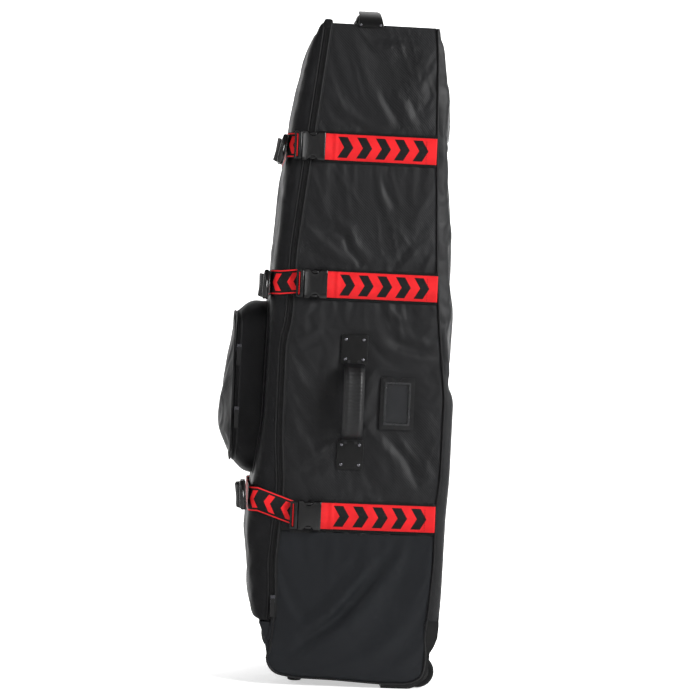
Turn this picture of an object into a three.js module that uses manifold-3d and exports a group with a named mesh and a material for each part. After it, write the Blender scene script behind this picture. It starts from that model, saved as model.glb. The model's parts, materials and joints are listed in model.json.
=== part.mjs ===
// A tall wheeled soft travel bag: a zipped fabric body that opens like a book, a front pocket,
// three compression straps with side-release buckles, grab handles, an identity window, and a
// moulded wheel tray with two wheels. Millimetres, +Z up, +X towards the back and the wheels,
// -Y towards the side that carries the buckles. The origin is the centre of the base.
import * as THREE from "three";
import { mergeVertices } from "three/addons/utils/BufferGeometryUtils.js";
import Module from "manifold-3d";

const wasm = await Module();
wasm.setup();

// Driving dimensions of the body
const HALF_WIDTH = 150;
const PANEL = 6;
const GAP = 0.3;
const INNER_HALF = HALF_WIDTH - PANEL - GAP;
const TOP_Z = 1268;
const BASE_Z = 18;
const SLATE_TOP = 296;
const GUARD_TOP = 139;
const LID_BOTTOM = 124;
const HINGE_X = -68;

// Outlines of the body seen from the side, each a list of [height, x]
const BACK_LINE = [[139, 210], [300, 216], [540, 222], [640, 214], [860, 201], [1040, 192], [1200, 181], [1262, 168]];
const ZIP_LINE = [[110, -107], [660, -107], [700, -96], [833, -94], [930, -86], [1000, -75], [1100, -66], [1200, -54],
  [1268, -48]];
const LID_LINE = [[124, -136], [150, -149], [300, -163], [500, -141], [730, -136], [860, -131], [960, -126],
  [1070, -112], [1190, -93], [1262, -62]];

// Front pocket
const POCKET_HALF = 110;
const POCKET_BOTTOM = 399;
const POCKET_TOP = 733;
const POCKET_ZIP_X = -196;
const POCKET_WALL = 4;

// Wheels, axles and the moulded tray round them
const WHEEL = { x: 178, z: 33, radius: 31, width: 26, middleY: 124.5, hubRadius: 20 };
const AXLE_RADIUS = 4;
const RUNNING_GAP = 0.5;
const TRAY_FRONT = 107;
const TRAY_RISER = 143;
const TRAY_WALL = 5;
const CHEEK = 4;
// The guards' heel curve: its centre, its reach to the back and its rise from the floor
const HEEL = { x: 156, z: 56, reach: 42, rise: 56 };
// The feet stand in from the sides, under the sill
const FOOT_Y = 75;

// Compression straps: webbing 50 wide, buckles a little wider
const WEBBING = { halfWidth: 25, thickness: 2.5 };
const BUCKLE = { halfHeight: 28, thickness: 12, length: 44, ladder: 15, tongue: 24, play: 2 };
const ADJUSTER = { depth: 20, halfHeight: 27, y0: -136, y1: -88 };
const STRAPS = [
  { z: 1030, mouth: -89, frontZ: 1030 },
  { z: 768, mouth: -74, frontZ: 768 },
  { z: 327, mouth: -67, frontZ: 354 },
];

// Handles and identity window
const SIDE_HANDLE = { x: 28, low: 417, high: 675, padWidth: 51, padHeight: 57, pad: 3, gripWidth: 36, rise: 36 };
const TOP_HANDLE = { x: 32, padWidth: 50, padLength: 45, pad: 3, gripWidth: 33, halfSpan: 94, rise: 30 };
const GRIP_THICKNESS = 12;
const WINDOW = { x: 114, z: 546, width: 65, height: 99, clearWidth: 42, clearHeight: 74 };

// Zip sliders and pullers
const SLIDER = { width: 9, height: 14, depth: 4 };
const PULLER = { width: 8, length: 34, thickness: 1.6 };
const SLIDERS = [
  { name: "main_zip", x: -107.5, z: 165, face: -HALF_WIDTH },
  { name: "pocket_zip_upper", x: -191, z: 640, face: -POCKET_HALF },
  { name: "pocket_zip_lower", x: -191, z: 520, face: -POCKET_HALF },
];

const MATERIALS = {
  cloth: new THREE.MeshStandardMaterial({ color: 0x24252a, roughness: 0.85, metalness: 0 }),
  slate: new THREE.MeshStandardMaterial({ color: 0x565a63, roughness: 0.6, metalness: 0 }),
  webbing: new THREE.MeshStandardMaterial({ color: 0xa5202a, roughness: 0.75, metalness: 0 }),
  darkWebbing: new THREE.MeshStandardMaterial({ color: 0x1b1b1e, roughness: 0.8, metalness: 0 }),
  plastic: new THREE.MeshStandardMaterial({ color: 0x141416, roughness: 0.4, metalness: 0 }),
  leather: new THREE.MeshStandardMaterial({ color: 0x1d1d20, roughness: 0.6, metalness: 0 }),
  rubber: new THREE.MeshStandardMaterial({ color: 0x101011, roughness: 0.8, metalness: 0 }),
  steel: new THREE.MeshStandardMaterial({ color: 0x9a9ca0, roughness: 0.35, metalness: 1 }),
  clear: new THREE.MeshStandardMaterial({ color: 0xc9ced2, roughness: 0.15, transparent: true, opacity: 0.4 }),
};

// The side handle stands out on one side only, so the body sits off the centre of the whole object
const BODY_OFFSET = new THREE.Vector3(0.5, 18.4, 0);

const bag = new THREE.Group();
bag.position.copy(BODY_OFFSET);

// Adds one named sub-part to the bag
function add(name, geometry, material) {
  const mesh = new THREE.Mesh(geometry, material);
  mesh.name = name;
  bag.add(mesh);
}

// Straight-line value of an outline at one height
function at(line, z) {
  for (let i = 1; i < line.length; i++) {
    const [z0, x0] = line[i - 1];
    const [z1, x1] = line[i];
    if (z <= z1) return x0 + ((x1 - x0) * (z - z0)) / (z1 - z0);
  }
  return line[line.length - 1][1];
}

// The outline's points from height z0 up to z1, shifted along x
function run(line, z0, z1, shift = 0) {
  const inside = line.filter(([z]) => z > z0 + 1 && z < z1 - 1).map(([z, x]) => [x + shift, z]);
  return [[at(line, z0) + shift, z0], ...inside, [at(line, z1) + shift, z1]];
}

// A flat plate: an outline of [x, z] points with thickness from y0 to y1
function plate(outline, y0, y1) {
  const shape = new THREE.Shape(outline.map(([x, z]) => new THREE.Vector2(x, z)));
  const geometry = new THREE.ExtrudeGeometry(shape, { depth: y1 - y0, bevelEnabled: false });
  return geometry.rotateX(Math.PI / 2).translate(0, y1, 0);
}

// An outline of [y, z] points with thickness from x0 to x1
function crossPlate(outline, x0, x1) {
  const shape = new THREE.Shape(outline.map(([y, z]) => new THREE.Vector2(y, z)));
  const geometry = new THREE.ExtrudeGeometry(shape, { depth: x1 - x0, bevelEnabled: false });
  return geometry.rotateX(Math.PI / 2).rotateZ(Math.PI / 2).translate(x0, 0, 0);
}

// A block given by its corners
function block(x0, x1, y0, y1, z0, z1) {
  const geometry = new THREE.BoxGeometry(x1 - x0, y1 - y0, z1 - z0);
  return geometry.translate((x0 + x1) / 2, (y0 + y1) / 2, (z0 + z1) / 2);
}

function rectangle(x0, x1, z0, z1) {
  return [[x0, z0], [x1, z0], [x1, z1], [x0, z1]];
}

// A closed geometry as a solid that can be joined and cut
function solid(geometry) {
  const bare = geometry.clone();
  bare.deleteAttribute("normal");
  bare.deleteAttribute("uv");
  const merged = mergeVertices(bare, 1e-4);
  return new wasm.Manifold(new wasm.Mesh({
    numProp: 3,
    vertProperties: new Float32Array(merged.attributes.position.array),
    triVerts: new Uint32Array(merged.index.array),
  }));
}

function geometryOf(body) {
  const mesh = body.getMesh();
  const geometry = new THREE.BufferGeometry();
  geometry.setAttribute("position", new THREE.BufferAttribute(new Float32Array(mesh.vertProperties), 3));
  geometry.setIndex(new THREE.BufferAttribute(new Uint32Array(mesh.triVerts), 1));
  return geometry;
}

function joined(...geometries) {
  return geometryOf(geometries.map(solid).reduce((whole, next) => whole.add(next)));
}

function cut(geometry, ...tools) {
  return geometryOf(tools.map(solid).reduce((whole, tool) => whole.subtract(tool), solid(geometry)));
}

// A turned piece about an axis along Y, from [radius, distance along Y] points on a closed profile
function turned(profile, x, y, z) {
  const points = profile.map(([radius, along]) => new THREE.Vector2(radius, along));
  return new THREE.LatheGeometry(points, 32).translate(x, y, z);
}

// Soft body: side, back, top and base panels
function addShell() {
  const backInner = -PANEL - GAP;
  const lowerFoot = [[-115, 46], [-100, 24], [15, 16], [100, 10], [150, 12], [184, 30], [189, 60], [187, GUARD_TOP]];
  const lowerBack = run(BACK_LINE, GUARD_TOP + 1, SLATE_TOP, backInner);
  const upperBack = run(BACK_LINE, SLATE_TOP + GAP, TOP_Z - PANEL, backInner);
  const upperTop = [[at(BACK_LINE, TOP_Z - PANEL) + backInner, TOP_Z]];
  const nearFront = run(ZIP_LINE, SLATE_TOP + GAP, TOP_Z, 1).reverse();
  const farFront = HINGE_X + 2;

  add("side_panel_near", plate([...upperBack, ...upperTop, ...nearFront], -HALF_WIDTH, -HALF_WIDTH + PANEL),
    MATERIALS.cloth);
  add("side_panel_near_lower", plate([...lowerFoot, ...lowerBack, [-106, SLATE_TOP], [-106, 118], [-115, 80]],
    -HALF_WIDTH, -HALF_WIDTH + PANEL), MATERIALS.slate);
  add("side_panel_far", plate([...upperBack, ...upperTop, [farFront, TOP_Z], [farFront, SLATE_TOP + GAP]],
    HALF_WIDTH - PANEL, HALF_WIDTH), MATERIALS.cloth);
  add("side_panel_far_lower", plate([...lowerFoot, ...lowerBack, [farFront, SLATE_TOP], [farFront, 118],
    [-109, 118], [-115, 80]], HALF_WIDTH - PANEL, HALF_WIDTH), MATERIALS.slate);

  const backOuter = run(BACK_LINE, GUARD_TOP + 1, TOP_Z - PANEL);
  const backFace = run(BACK_LINE, GUARD_TOP + 1, TOP_Z - PANEL, -PANEL).reverse();
  add("back_panel", plate([...backOuter, ...backFace], -INNER_HALF, INNER_HALF), MATERIALS.cloth);
  const boardLow = 112;
  const boardTop = 560;
  const boardOuter = run(BACK_LINE, GUARD_TOP + 1, boardTop, backInner);
  const boardInner = run(BACK_LINE, GUARD_TOP + 1, boardTop, backInner - 3).reverse();
  const boardFoot = at(BACK_LINE, GUARD_TOP) + backInner;
  add("back_board", plate([[boardFoot - 1, boardLow], ...boardOuter, ...boardInner, [boardFoot - 4, boardLow]],
    -INNER_HALF + 4, INNER_HALF - 4), MATERIALS.plastic);
  const topEnd = at(BACK_LINE, TOP_Z - PANEL);
  add("top_panel", block(-46, topEnd, -INNER_HALF, INNER_HALF, TOP_Z - PANEL + GAP, TOP_Z), MATERIALS.cloth);
  const heel = TRAY_RISER - TRAY_WALL - GAP;
  add("base_panel", plate([[-98, BASE_Z], [heel, BASE_Z], [heel, BASE_Z + PANEL], [-97, BASE_Z + PANEL],
    [-109, 48], [-109, 118], [-115, 118], [-115, 46]], -INNER_HALF, INNER_HALF), MATERIALS.slate);
}

// Lid: the zipped front, which swings about its far edge
function addLid() {
  const top = TOP_Z - PANEL;
  const nearTop = [[at(ZIP_LINE, TOP_Z) - 1.5, TOP_Z]];
  const nearBack = run(ZIP_LINE, LID_BOTTOM, top, -1.5);
  const front = run(LID_LINE, LID_BOTTOM, top).reverse();
  add("lid_gusset_near", plate([...nearBack, ...nearTop, ...front], -HALF_WIDTH, -HALF_WIDTH + PANEL),
    MATERIALS.cloth);
  const farTop = 1230;
  const farBack = [[HINGE_X - GAP, LID_BOTTOM], [HINGE_X - GAP, farTop]];
  add("lid_gusset_far", plate([...farBack, ...run(LID_LINE, LID_BOTTOM, farTop).reverse()],
    HALF_WIDTH - PANEL, HALF_WIDTH), MATERIALS.cloth);
  const frontInner = run(LID_LINE, LID_BOTTOM, top - 1, PANEL);
  const topEdge = [[-50, top], [-50, TOP_Z], [-60, TOP_Z]];
  add("lid_front", plate([...frontInner, ...topEdge, ...front], -INNER_HALF, INNER_HALF), MATERIALS.cloth);
  const innerFoot = at(LID_LINE, LID_BOTTOM) + PANEL + GAP;
  add("lid_gusset_bottom", block(innerFoot, -108.5, -INNER_HALF, INNER_HALF, LID_BOTTOM, LID_BOTTOM + PANEL),
    MATERIALS.cloth);
}

// Front pocket: four walls on the lid and a zipped door
function addPocket() {
  const wallLine = run(LID_LINE, POCKET_BOTTOM, POCKET_TOP, -GAP - 0.1);
  const wall = [...wallLine, [-171, POCKET_TOP], [-187, 723], [POCKET_ZIP_X, 713], [POCKET_ZIP_X, 421],
    [-178, POCKET_BOTTOM]];
  add("pocket_wall_near", plate(wall, -POCKET_HALF, -POCKET_HALF + POCKET_WALL), MATERIALS.cloth);
  add("pocket_wall_far", plate(wall, POCKET_HALF - POCKET_WALL, POCKET_HALF), MATERIALS.cloth);
  const innerHalf = POCKET_HALF - POCKET_WALL - GAP;
  const topRoot = at(LID_LINE, POCKET_TOP) - GAP - 0.1;
  add("pocket_wall_top", plate([[topRoot, POCKET_TOP - POCKET_WALL], [topRoot, POCKET_TOP], [-171, POCKET_TOP],
    [-187, 723], [POCKET_ZIP_X, 713], [POCKET_ZIP_X, 708], [-185, 719], [-170, POCKET_TOP - POCKET_WALL]],
    -innerHalf, innerHalf), MATERIALS.cloth);
  const bottomRoot = at(LID_LINE, POCKET_BOTTOM) - 1.5;
  add("pocket_wall_bottom", plate([[bottomRoot, POCKET_BOTTOM], [bottomRoot, POCKET_BOTTOM + POCKET_WALL],
    [-176, POCKET_BOTTOM + POCKET_WALL], [POCKET_ZIP_X, 426], [POCKET_ZIP_X, 421], [-178, POCKET_BOTTOM]],
    -innerHalf, innerHalf), MATERIALS.cloth);

  const seam = POCKET_ZIP_X - 0.6;
  const outer = [[seam, 712], [-203, 704], [-208, 673], [-216, 638], [-222, 610], [-223, 540], [-222, 471],
    [-211, 446], [seam, 421]];
  const inner = [[seam, 427], [-207.5, 449], [-217, 473], [-218, 540], [-217, 609], [-211, 638], [-203, 672],
    [-199, 702], [seam, 706]];
  add("pocket_door", joined(
    plate([...outer, ...inner], -POCKET_HALF, POCKET_HALF),
    plate(outer, -POCKET_HALF, -POCKET_HALF + POCKET_WALL),
    plate(outer, POCKET_HALF - POCKET_WALL, POCKET_HALF),
  ), MATERIALS.cloth);
}

// The heel of a corner guard: a quarter of an ellipse from the end of the skid up to the front of the wheel arch
function heelCurve(count) {
  const { x, z, reach, rise } = HEEL;
  return Array.from({ length: count }, (_, step) => {
    const angle = (step / (count - 1)) * (Math.PI / 2);
    return [x + reach * Math.sin(angle), z - rise * Math.cos(angle)];
  });
}

// One wheel with its hub, axle and corner guard; side is -1 for near and 1 for far
function addWheel(side, label) {
  const { x, z, radius, width, middleY, hubRadius } = WHEEL;
  const y = side * middleY;
  const half = width / 2;
  const shoulder = 4;
  add("tyre_" + label, turned([[hubRadius + 0.2, -half], [radius - shoulder, -half], [radius, -half + shoulder],
    [radius, half - shoulder], [radius - shoulder, half], [hubRadius + 0.2, half], [hubRadius + 0.2, -half]],
    x, y, z), MATERIALS.rubber);
  const bore = AXLE_RADIUS + RUNNING_GAP;
  add("hub_" + label, turned([[bore, -half], [hubRadius, -half], [hubRadius, half], [bore, half], [bore, -half]],
    x, y, z), MATERIALS.plastic);
  const reach = HALF_WIDTH - PANEL - GAP - CHEEK - GAP - middleY;
  add("axle_" + label, turned([[0, -reach], [AXLE_RADIUS, -reach], [AXLE_RADIUS, reach], [0, reach]], x, y, z),
    MATERIALS.steel);

  const guard = [[TRAY_FRONT, 0], ...heelCurve(9), [199, 79], [212, 99], [214, 122], [213, GUARD_TOP],
    [TRAY_RISER + GAP, GUARD_TOP], [TRAY_RISER + GAP, BASE_Z - GAP], [TRAY_FRONT, BASE_Z - GAP]];
  const outerY = HALF_WIDTH - PANEL - GAP;
  const innerY = outerY - CHEEK;
  add("corner_guard_" + label, plate(guard, Math.min(side * outerY, side * innerY),
    Math.max(side * outerY, side * innerY)), MATERIALS.plastic);
}

// Wheel tray: skid under the heel, riser, roof over the wheels, inner cheeks and back kick wall
function addTray() {
  const half = HALF_WIDTH - PANEL - GAP - CHEEK - GAP;
  const section = [[TRAY_FRONT, 0], [TRAY_RISER, 0], [TRAY_RISER, 67], [198, 67], [207, 82], [213, 99], [214, 122],
    [213, GUARD_TOP], [208, GUARD_TOP], [209, 122], [208, 100], [202, 85], [195, 72],
    [TRAY_RISER - TRAY_WALL, 72], [TRAY_RISER - TRAY_WALL, BASE_Z - GAP], [TRAY_FRONT, BASE_Z - GAP]];
  const cheekInner = WHEEL.middleY - WHEEL.width / 2 - 2;
  const cheek = [[TRAY_RISER - 1, 8], [186, 22], [194, 40], [195, 68], [TRAY_RISER - 1, 68]];
  const bore = turned([[0, -60], [AXLE_RADIUS + GAP, -60], [AXLE_RADIUS + GAP, 60], [0, 60]],
    WHEEL.x, 0, WHEEL.z).scale(1, 3, 1);
  const body = joined(
    plate(section, -half, half),
    plate(cheek, -cheekInner, -cheekInner + CHEEK),
    plate(cheek, cheekInner - CHEEK, cheekInner),
  );
  add("wheel_tray", cut(body, bore), MATERIALS.plastic);
}

function addFoot(label, y) {
  const points = [[0, 0], [12, 0], [13.5, 1.5], [15, BASE_Z - GAP], [0, BASE_Z - GAP]];
  const geometry = new THREE.LatheGeometry(points.map(([radius, z]) => new THREE.Vector2(radius, z)), 24);
  add(label, geometry.rotateX(Math.PI / 2).translate(-56, y, 0), MATERIALS.rubber);
}

// One compression strap: sewn webbing on both sides, buckle halves and the run round the front
function addStrap(strap, number) {
  const { z, mouth, frontZ } = strap;
  const { halfWidth, thickness } = WEBBING;
  const face = -HALF_WIDTH - GAP;
  const webFace = face - thickness;
  const buckleInner = webFace - GAP;
  const buckleOuter = buckleInner - BUCKLE.thickness;
  const heel = mouth + BUCKLE.length;
  const sewnEnd = at(BACK_LINE, z) - 18;

  add(`strap_${number}_near`, block(mouth + 18, sewnEnd, webFace, face, z - halfWidth, z + halfWidth),
    MATERIALS.webbing);
  add(`strap_${number}_far`, block(HINGE_X + 3, sewnEnd, HALF_WIDTH + GAP, HALF_WIDTH + GAP + thickness,
    z - halfWidth, z + halfWidth), MATERIALS.darkWebbing);

  // The female half is a sleeve open at its mouth; the tongue slides in with a little play
  const wall = 2;
  const wide = BUCKLE.halfHeight - 6;
  const sleeve = block(mouth, heel, buckleOuter, buckleInner, z - BUCKLE.halfHeight, z + BUCKLE.halfHeight);
  const socket = block(mouth - 1, heel - 6, buckleOuter + wall, buckleInner - wall, z - wide, z + wide);
  add(`buckle_${number}_female`, cut(sleeve, socket), MATERIALS.plastic);

  const middle = (buckleInner + buckleOuter) / 2;
  const tongueHalf = (BUCKLE.thickness - 2 * wall - 2 * BUCKLE.play) / 2;
  const ladderHigh = BUCKLE.halfHeight - 2;
  const ladder = block(mouth - BUCKLE.ladder, mouth - 0.6, buckleOuter, buckleInner, z - ladderHigh, z + ladderHigh);
  const tongue = block(mouth - 1, mouth + BUCKLE.tongue, middle - tongueHalf, middle + tongueHalf,
    z - wide + BUCKLE.play, z + wide - BUCKLE.play);
  add(`buckle_${number}_male`, joined(ladder, tongue), MATERIALS.plastic);

  // The front run leaves the male half, turns the corner and crosses the lid
  const low = frontZ - halfWidth;
  const high = frontZ + halfWidth;
  const outside = run(LID_LINE, low, high, -GAP - thickness);
  const inside = run(LID_LINE, low, high, -GAP).reverse();
  const start = mouth - 1;
  const side = [...outside, [start, z + halfWidth], [start, z - halfWidth]];
  add(`strap_${number}_front`, joined(
    plate([...outside, ...inside], webFace, HALF_WIDTH),
    plate(side, webFace, face),
  ), MATERIALS.darkWebbing);

  const { depth, halfHeight, y0, y1 } = ADJUSTER;
  const adjusterBack = run(LID_LINE, frontZ - halfHeight, frontZ + halfHeight, -GAP - thickness - GAP);
  const adjusterFront = run(LID_LINE, frontZ - halfHeight, frontZ + halfHeight, -GAP - thickness - depth).reverse();
  add(`strap_${number}_adjuster`, plate([...adjusterBack, ...adjusterFront], y0, y1), MATERIALS.plastic);
}

// A padded grip that arches out from two pads, as an outline of [along, height] points
function arch(halfSpan, rise, thickness) {
  const shoulder = halfSpan - 26;
  const bend = halfSpan - 8;
  return [[-halfSpan, 0], [-halfSpan, thickness / 2], [-shoulder - 4, rise], [shoulder + 4, rise],
    [halfSpan, thickness / 2], [halfSpan, 0], [bend, 0], [shoulder, rise - thickness],
    [-shoulder, rise - thickness], [-bend, 0]];
}

function addSideHandle() {
  const { x, low, high, padWidth, padHeight, pad, gripWidth, rise } = SIDE_HANDLE;
  const face = -HALF_WIDTH - GAP;
  const left = x - padWidth / 2;
  add("side_handle_pad_upper", block(left, left + padWidth, face - pad, face, high - padHeight, high),
    MATERIALS.leather);
  add("side_handle_pad_lower", block(left, left + padWidth, face - pad, face, low, low + padHeight),
    MATERIALS.leather);
  const overlap = 20;
  const halfSpan = (high - low) / 2 - padHeight + overlap;
  const middle = (high + low) / 2;
  const base = face - pad - GAP;
  const outline = arch(halfSpan, rise, GRIP_THICKNESS).map(([along, out]) => [base - out, middle + along]);
  add("side_handle_grip", crossPlate(outline.reverse(), x - gripWidth / 2, x + gripWidth / 2), MATERIALS.leather);
}

function addTopHandle() {
  const { x, padWidth, padLength, pad, gripWidth, halfSpan, rise } = TOP_HANDLE;
  const base = TOP_Z + GAP;
  const left = x - padWidth / 2;
  const inner = halfSpan - 20;
  add("top_handle_pad_near", block(left, left + padWidth, -inner - padLength, -inner, base, base + pad),
    MATERIALS.leather);
  add("top_handle_pad_far", block(left, left + padWidth, inner, inner + padLength, base, base + pad),
    MATERIALS.leather);
  const outline = arch(halfSpan, rise - pad - 2 * GAP, GRIP_THICKNESS - 2)
    .map(([along, up]) => [along, base + pad + GAP + up]);
  add("top_handle_grip", crossPlate(outline, x - gripWidth / 2, x + gripWidth / 2), MATERIALS.leather);
}

function addIdentityWindow() {
  const { x, z, width, height, clearWidth, clearHeight } = WINDOW;
  const face = -HALF_WIDTH - GAP;
  const sheet = 0.6;
  const sheetHalfWidth = width / 2 - 3;
  const sheetHalfHeight = height / 2 - 3;
  add("id_window", block(x - sheetHalfWidth, x + sheetHalfWidth, face - sheet, face, z - sheetHalfHeight,
    z + sheetHalfHeight), MATERIALS.clear);
  const frameInner = face - sheet - GAP;
  const frame = block(x - width / 2, x + width / 2, frameInner - 2.4, frameInner, z - height / 2, z + height / 2);
  const hole = block(x - clearWidth / 2, x + clearWidth / 2, frameInner - 5, frameInner + 5, z - clearHeight / 2,
    z + clearHeight / 2);
  add("id_frame", cut(frame, hole), MATERIALS.plastic);
}

// A zip slider and the puller that hangs from it
function addSlider({ name, x, z, face }) {
  const inner = face - GAP;
  const outer = inner - SLIDER.depth;
  const halfWidth = SLIDER.width / 2;
  add(name + "_slider", block(x - halfWidth, x + halfWidth, outer, inner, z - SLIDER.height / 2,
    z + SLIDER.height / 2), MATERIALS.steel);
  const pullerInner = outer - 1;
  const pullerHalf = PULLER.width / 2;
  add(name + "_puller", block(x - pullerHalf, x + pullerHalf, pullerInner - PULLER.thickness, pullerInner,
    z - PULLER.length, z + 1), MATERIALS.steel);
}

addShell();
addLid();
addPocket();
addTray();
addWheel(-1, "near");
addWheel(1, "far");
addFoot("foot_near", -FOOT_Y);
addFoot("foot_far", FOOT_Y);
STRAPS.forEach((strap, index) => addStrap(strap, index + 1));
addSideHandle();
addTopHandle();
addIdentityWindow();
SLIDERS.forEach(addSlider);

export default bag;
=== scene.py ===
"""Looks for a tall wheeled soft travel bag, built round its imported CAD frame.

Lengths in this script are millimetres in the bag's own body frame, where x is 0 at the middle of the base, y is 0
half way between the two side panels and z is 0 on the floor. place() turns them into the row frame's metres.
"""

import json
import math
import random

import bmesh
import bpy
import numpy as np
from mathutils import Matrix, Vector, noise


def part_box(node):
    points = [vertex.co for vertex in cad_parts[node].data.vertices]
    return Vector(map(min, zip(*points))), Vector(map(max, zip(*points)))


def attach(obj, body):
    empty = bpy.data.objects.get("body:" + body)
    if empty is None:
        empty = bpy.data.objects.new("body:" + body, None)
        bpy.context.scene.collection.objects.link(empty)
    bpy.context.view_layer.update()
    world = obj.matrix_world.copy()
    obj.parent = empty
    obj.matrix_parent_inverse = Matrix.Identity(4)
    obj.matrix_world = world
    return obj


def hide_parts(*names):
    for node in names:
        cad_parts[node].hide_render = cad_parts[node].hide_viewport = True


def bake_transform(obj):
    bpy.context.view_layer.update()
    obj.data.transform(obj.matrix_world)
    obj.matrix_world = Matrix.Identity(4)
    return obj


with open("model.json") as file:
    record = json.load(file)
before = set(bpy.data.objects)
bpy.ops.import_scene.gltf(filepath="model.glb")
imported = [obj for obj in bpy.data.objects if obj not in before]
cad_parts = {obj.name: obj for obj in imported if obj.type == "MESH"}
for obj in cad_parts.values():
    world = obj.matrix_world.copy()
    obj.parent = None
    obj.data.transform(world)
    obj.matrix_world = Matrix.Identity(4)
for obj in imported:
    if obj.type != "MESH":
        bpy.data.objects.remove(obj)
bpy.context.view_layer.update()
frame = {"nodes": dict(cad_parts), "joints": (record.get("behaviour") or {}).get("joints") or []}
random.seed(7)

# ---------------------------------------------------------------- frame and driving dimensions
MM = 0.001
HINGE_X = -68
hinge = next(joint for joint in frame["joints"] if joint["name"] == "lid_open")
near_low, near_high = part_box("side_panel_near")
far_low, far_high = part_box("side_panel_far")
OFFSET = Vector((hinge["pos_m"][0] - HINGE_X * MM, (near_low.y + far_high.y) / 2, 0))

HALF = 150
TOP = 1268
SLATE_TOP = 296
GUARD_TOP = 139
LID_BOTTOM = 124
POCKET_HALF = 110
POCKET_RIM = -196
WEB = 25
FACE = -HALF - 0.3
STRAPS = {1: (1030, -89, 1030), 2: (768, -74, 768), 3: (327, -67, 354)}


def place(x, y, z):
    return Vector((x * MM, y * MM, z * MM)) + OFFSET


def soft_line(points, spread=16):
    """x as a function of height through a few points, with the corners between them rounded."""
    heights = np.array([p[0] for p in points], float)
    values = np.array([p[1] for p in points], float)
    steps = np.linspace(-spread, spread, 9)

    def value(z):
        reach = np.clip(z + steps, heights[0], heights[-1])
        return float(np.interp(reach, heights, values).mean())

    return value


# Outlines seen from the side, as (height, x): the near zip, the side's back seam, the back and the lid's front
zip_x = soft_line([(60, -113), (150, -106), (240, -110), (380, -100), (480, -107), (655, -107), (700, -97), (830, -94),
                   (1000, -76), (1275, -46)])
pipe_x = soft_line([(65, 188), (105, 186), (150, 192), (240, 198), (350, 198), (410, 204), (560, 205), (710, 188),
                    (810, 180), (1040, 170), (1210, 165), (1275, 160)], 12)
back_x = soft_line([(100, 214), (180, 218), (330, 220), (405, 224), (555, 225), (585, 214), (635, 219), (860, 204),
                    (1050, 194), (1130, 190), (1230, 179), (1272, 165)], 8)
lid_x = soft_line([(110, -136), (150, -149), (300, -163), (340, -160), (500, -141), (730, -136), (980, -119),
                   (1100, -105), (1220, -82), (1266, -62)])


# ---------------------------------------------------------------- mesh helpers
def link(name, mesh):
    piece = bpy.data.objects.new(name, mesh)
    bpy.context.scene.collection.objects.link(piece)
    return piece


def finish_mesh(name, vertices, faces, smooth=True):
    mesh = bpy.data.meshes.new(name)
    mesh.from_pydata([place(*v) for v in vertices], [], faces)
    mesh.update()
    shaping = bmesh.new()
    shaping.from_mesh(mesh)
    bmesh.ops.recalc_face_normals(shaping, faces=shaping.faces)
    shaping.to_mesh(mesh)
    shaping.free()
    for polygon in mesh.polygons:
        polygon.use_smooth = smooth
    return link(name, mesh)


def sheet_mesh(name, rows, toward, closed=False):
    """A grid of points as one sheet whose normals face the point toward."""
    count = len(rows[0])
    vertices = [p for row in rows for p in row]
    around = count if closed else count - 1
    faces = []
    for r in range(len(rows) - 1):
        for c in range(around):
            n = (c + 1) % count
            faces.append((r * count + c, r * count + n, (r + 1) * count + n, (r + 1) * count + c))
    mesh = bpy.data.meshes.new(name)
    mesh.from_pydata([place(*v) for v in vertices], [], faces)
    mesh.update()
    target = place(*toward)
    votes = sum(p.normal.dot(target - p.center) * p.area for p in mesh.polygons)
    if votes < 0:
        mesh.flip_normals()
    for polygon in mesh.polygons:
        polygon.use_smooth = True
    return link(name, mesh)


def add_modifier(piece, kind, **settings):
    modifier = piece.modifiers.new(kind.title(), kind)
    for key, value in settings.items():
        setattr(modifier, key, value)
    return modifier


def thicken(piece, thickness=2.5, levels=1):
    """Gives a sheet its thickness, inwards from its outer face, and a finer surface."""
    if levels:
        add_modifier(piece, "SUBSURF", levels=levels, render_levels=levels)
    add_modifier(piece, "SOLIDIFY", thickness=thickness * MM, offset=-1)


def tube(name, points, radius, sides=8, closed=False):
    """A cord of round section through a list of points."""
    path = [Vector(p) for p in points]
    count = len(path)
    vertices = []
    normal = None
    for i, point in enumerate(path):
        ahead = path[(i + 1) % count] if closed or i < count - 1 else point
        behind = path[i - 1] if closed or i > 0 else point
        tangent = (ahead - behind).normalized()
        if normal is None:
            normal = tangent.orthogonal().normalized()
        normal = (normal - tangent * normal.dot(tangent)).normalized()
        across = tangent.cross(normal)
        for k in range(sides):
            angle = 2 * math.pi * k / sides
            vertices.append(point + radius * (math.cos(angle) * normal + math.sin(angle) * across))
    faces = []
    for i in range(count if closed else count - 1):
        j = (i + 1) % count
        for k in range(sides):
            m = (k + 1) % sides
            faces.append((i * sides + k, i * sides + m, j * sides + m, j * sides + k))
    if not closed:
        faces.append(tuple(range(sides)))
        faces.append(tuple(range((count - 1) * sides, count * sides)))
    return finish_mesh(name, vertices, faces)


def ribbon(name, points, across, thickness):
    """A flat strip: points are its middle line, across is its half width as a vector, or one for each point."""
    path = [Vector(p) for p in points]
    count = len(path)
    acrosses = [Vector(a) for a in across] if isinstance(across, list) else [Vector(across)] * count
    vertices = []
    for i, point in enumerate(path):
        tangent = (path[min(i + 1, count - 1)] - path[max(i - 1, 0)]).normalized()
        out = tangent.cross(acrosses[i]).normalized() * (thickness / 2)
        side = acrosses[i]
        edge = side.normalized() * 0.5
        vertices += [point - side + edge - out, point + side - edge - out, point + side, point + side - edge + out,
                     point - side + edge + out, point - side]
    ring = 6
    faces = []
    for i in range(count - 1):
        for k in range(ring):
            m = (k + 1) % ring
            faces.append((i * ring + k, i * ring + m, (i + 1) * ring + m, (i + 1) * ring + k))
    faces.append(tuple(range(ring)))
    faces.append(tuple(range((count - 1) * ring, count * ring)))
    return finish_mesh(name, vertices, faces)


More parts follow.
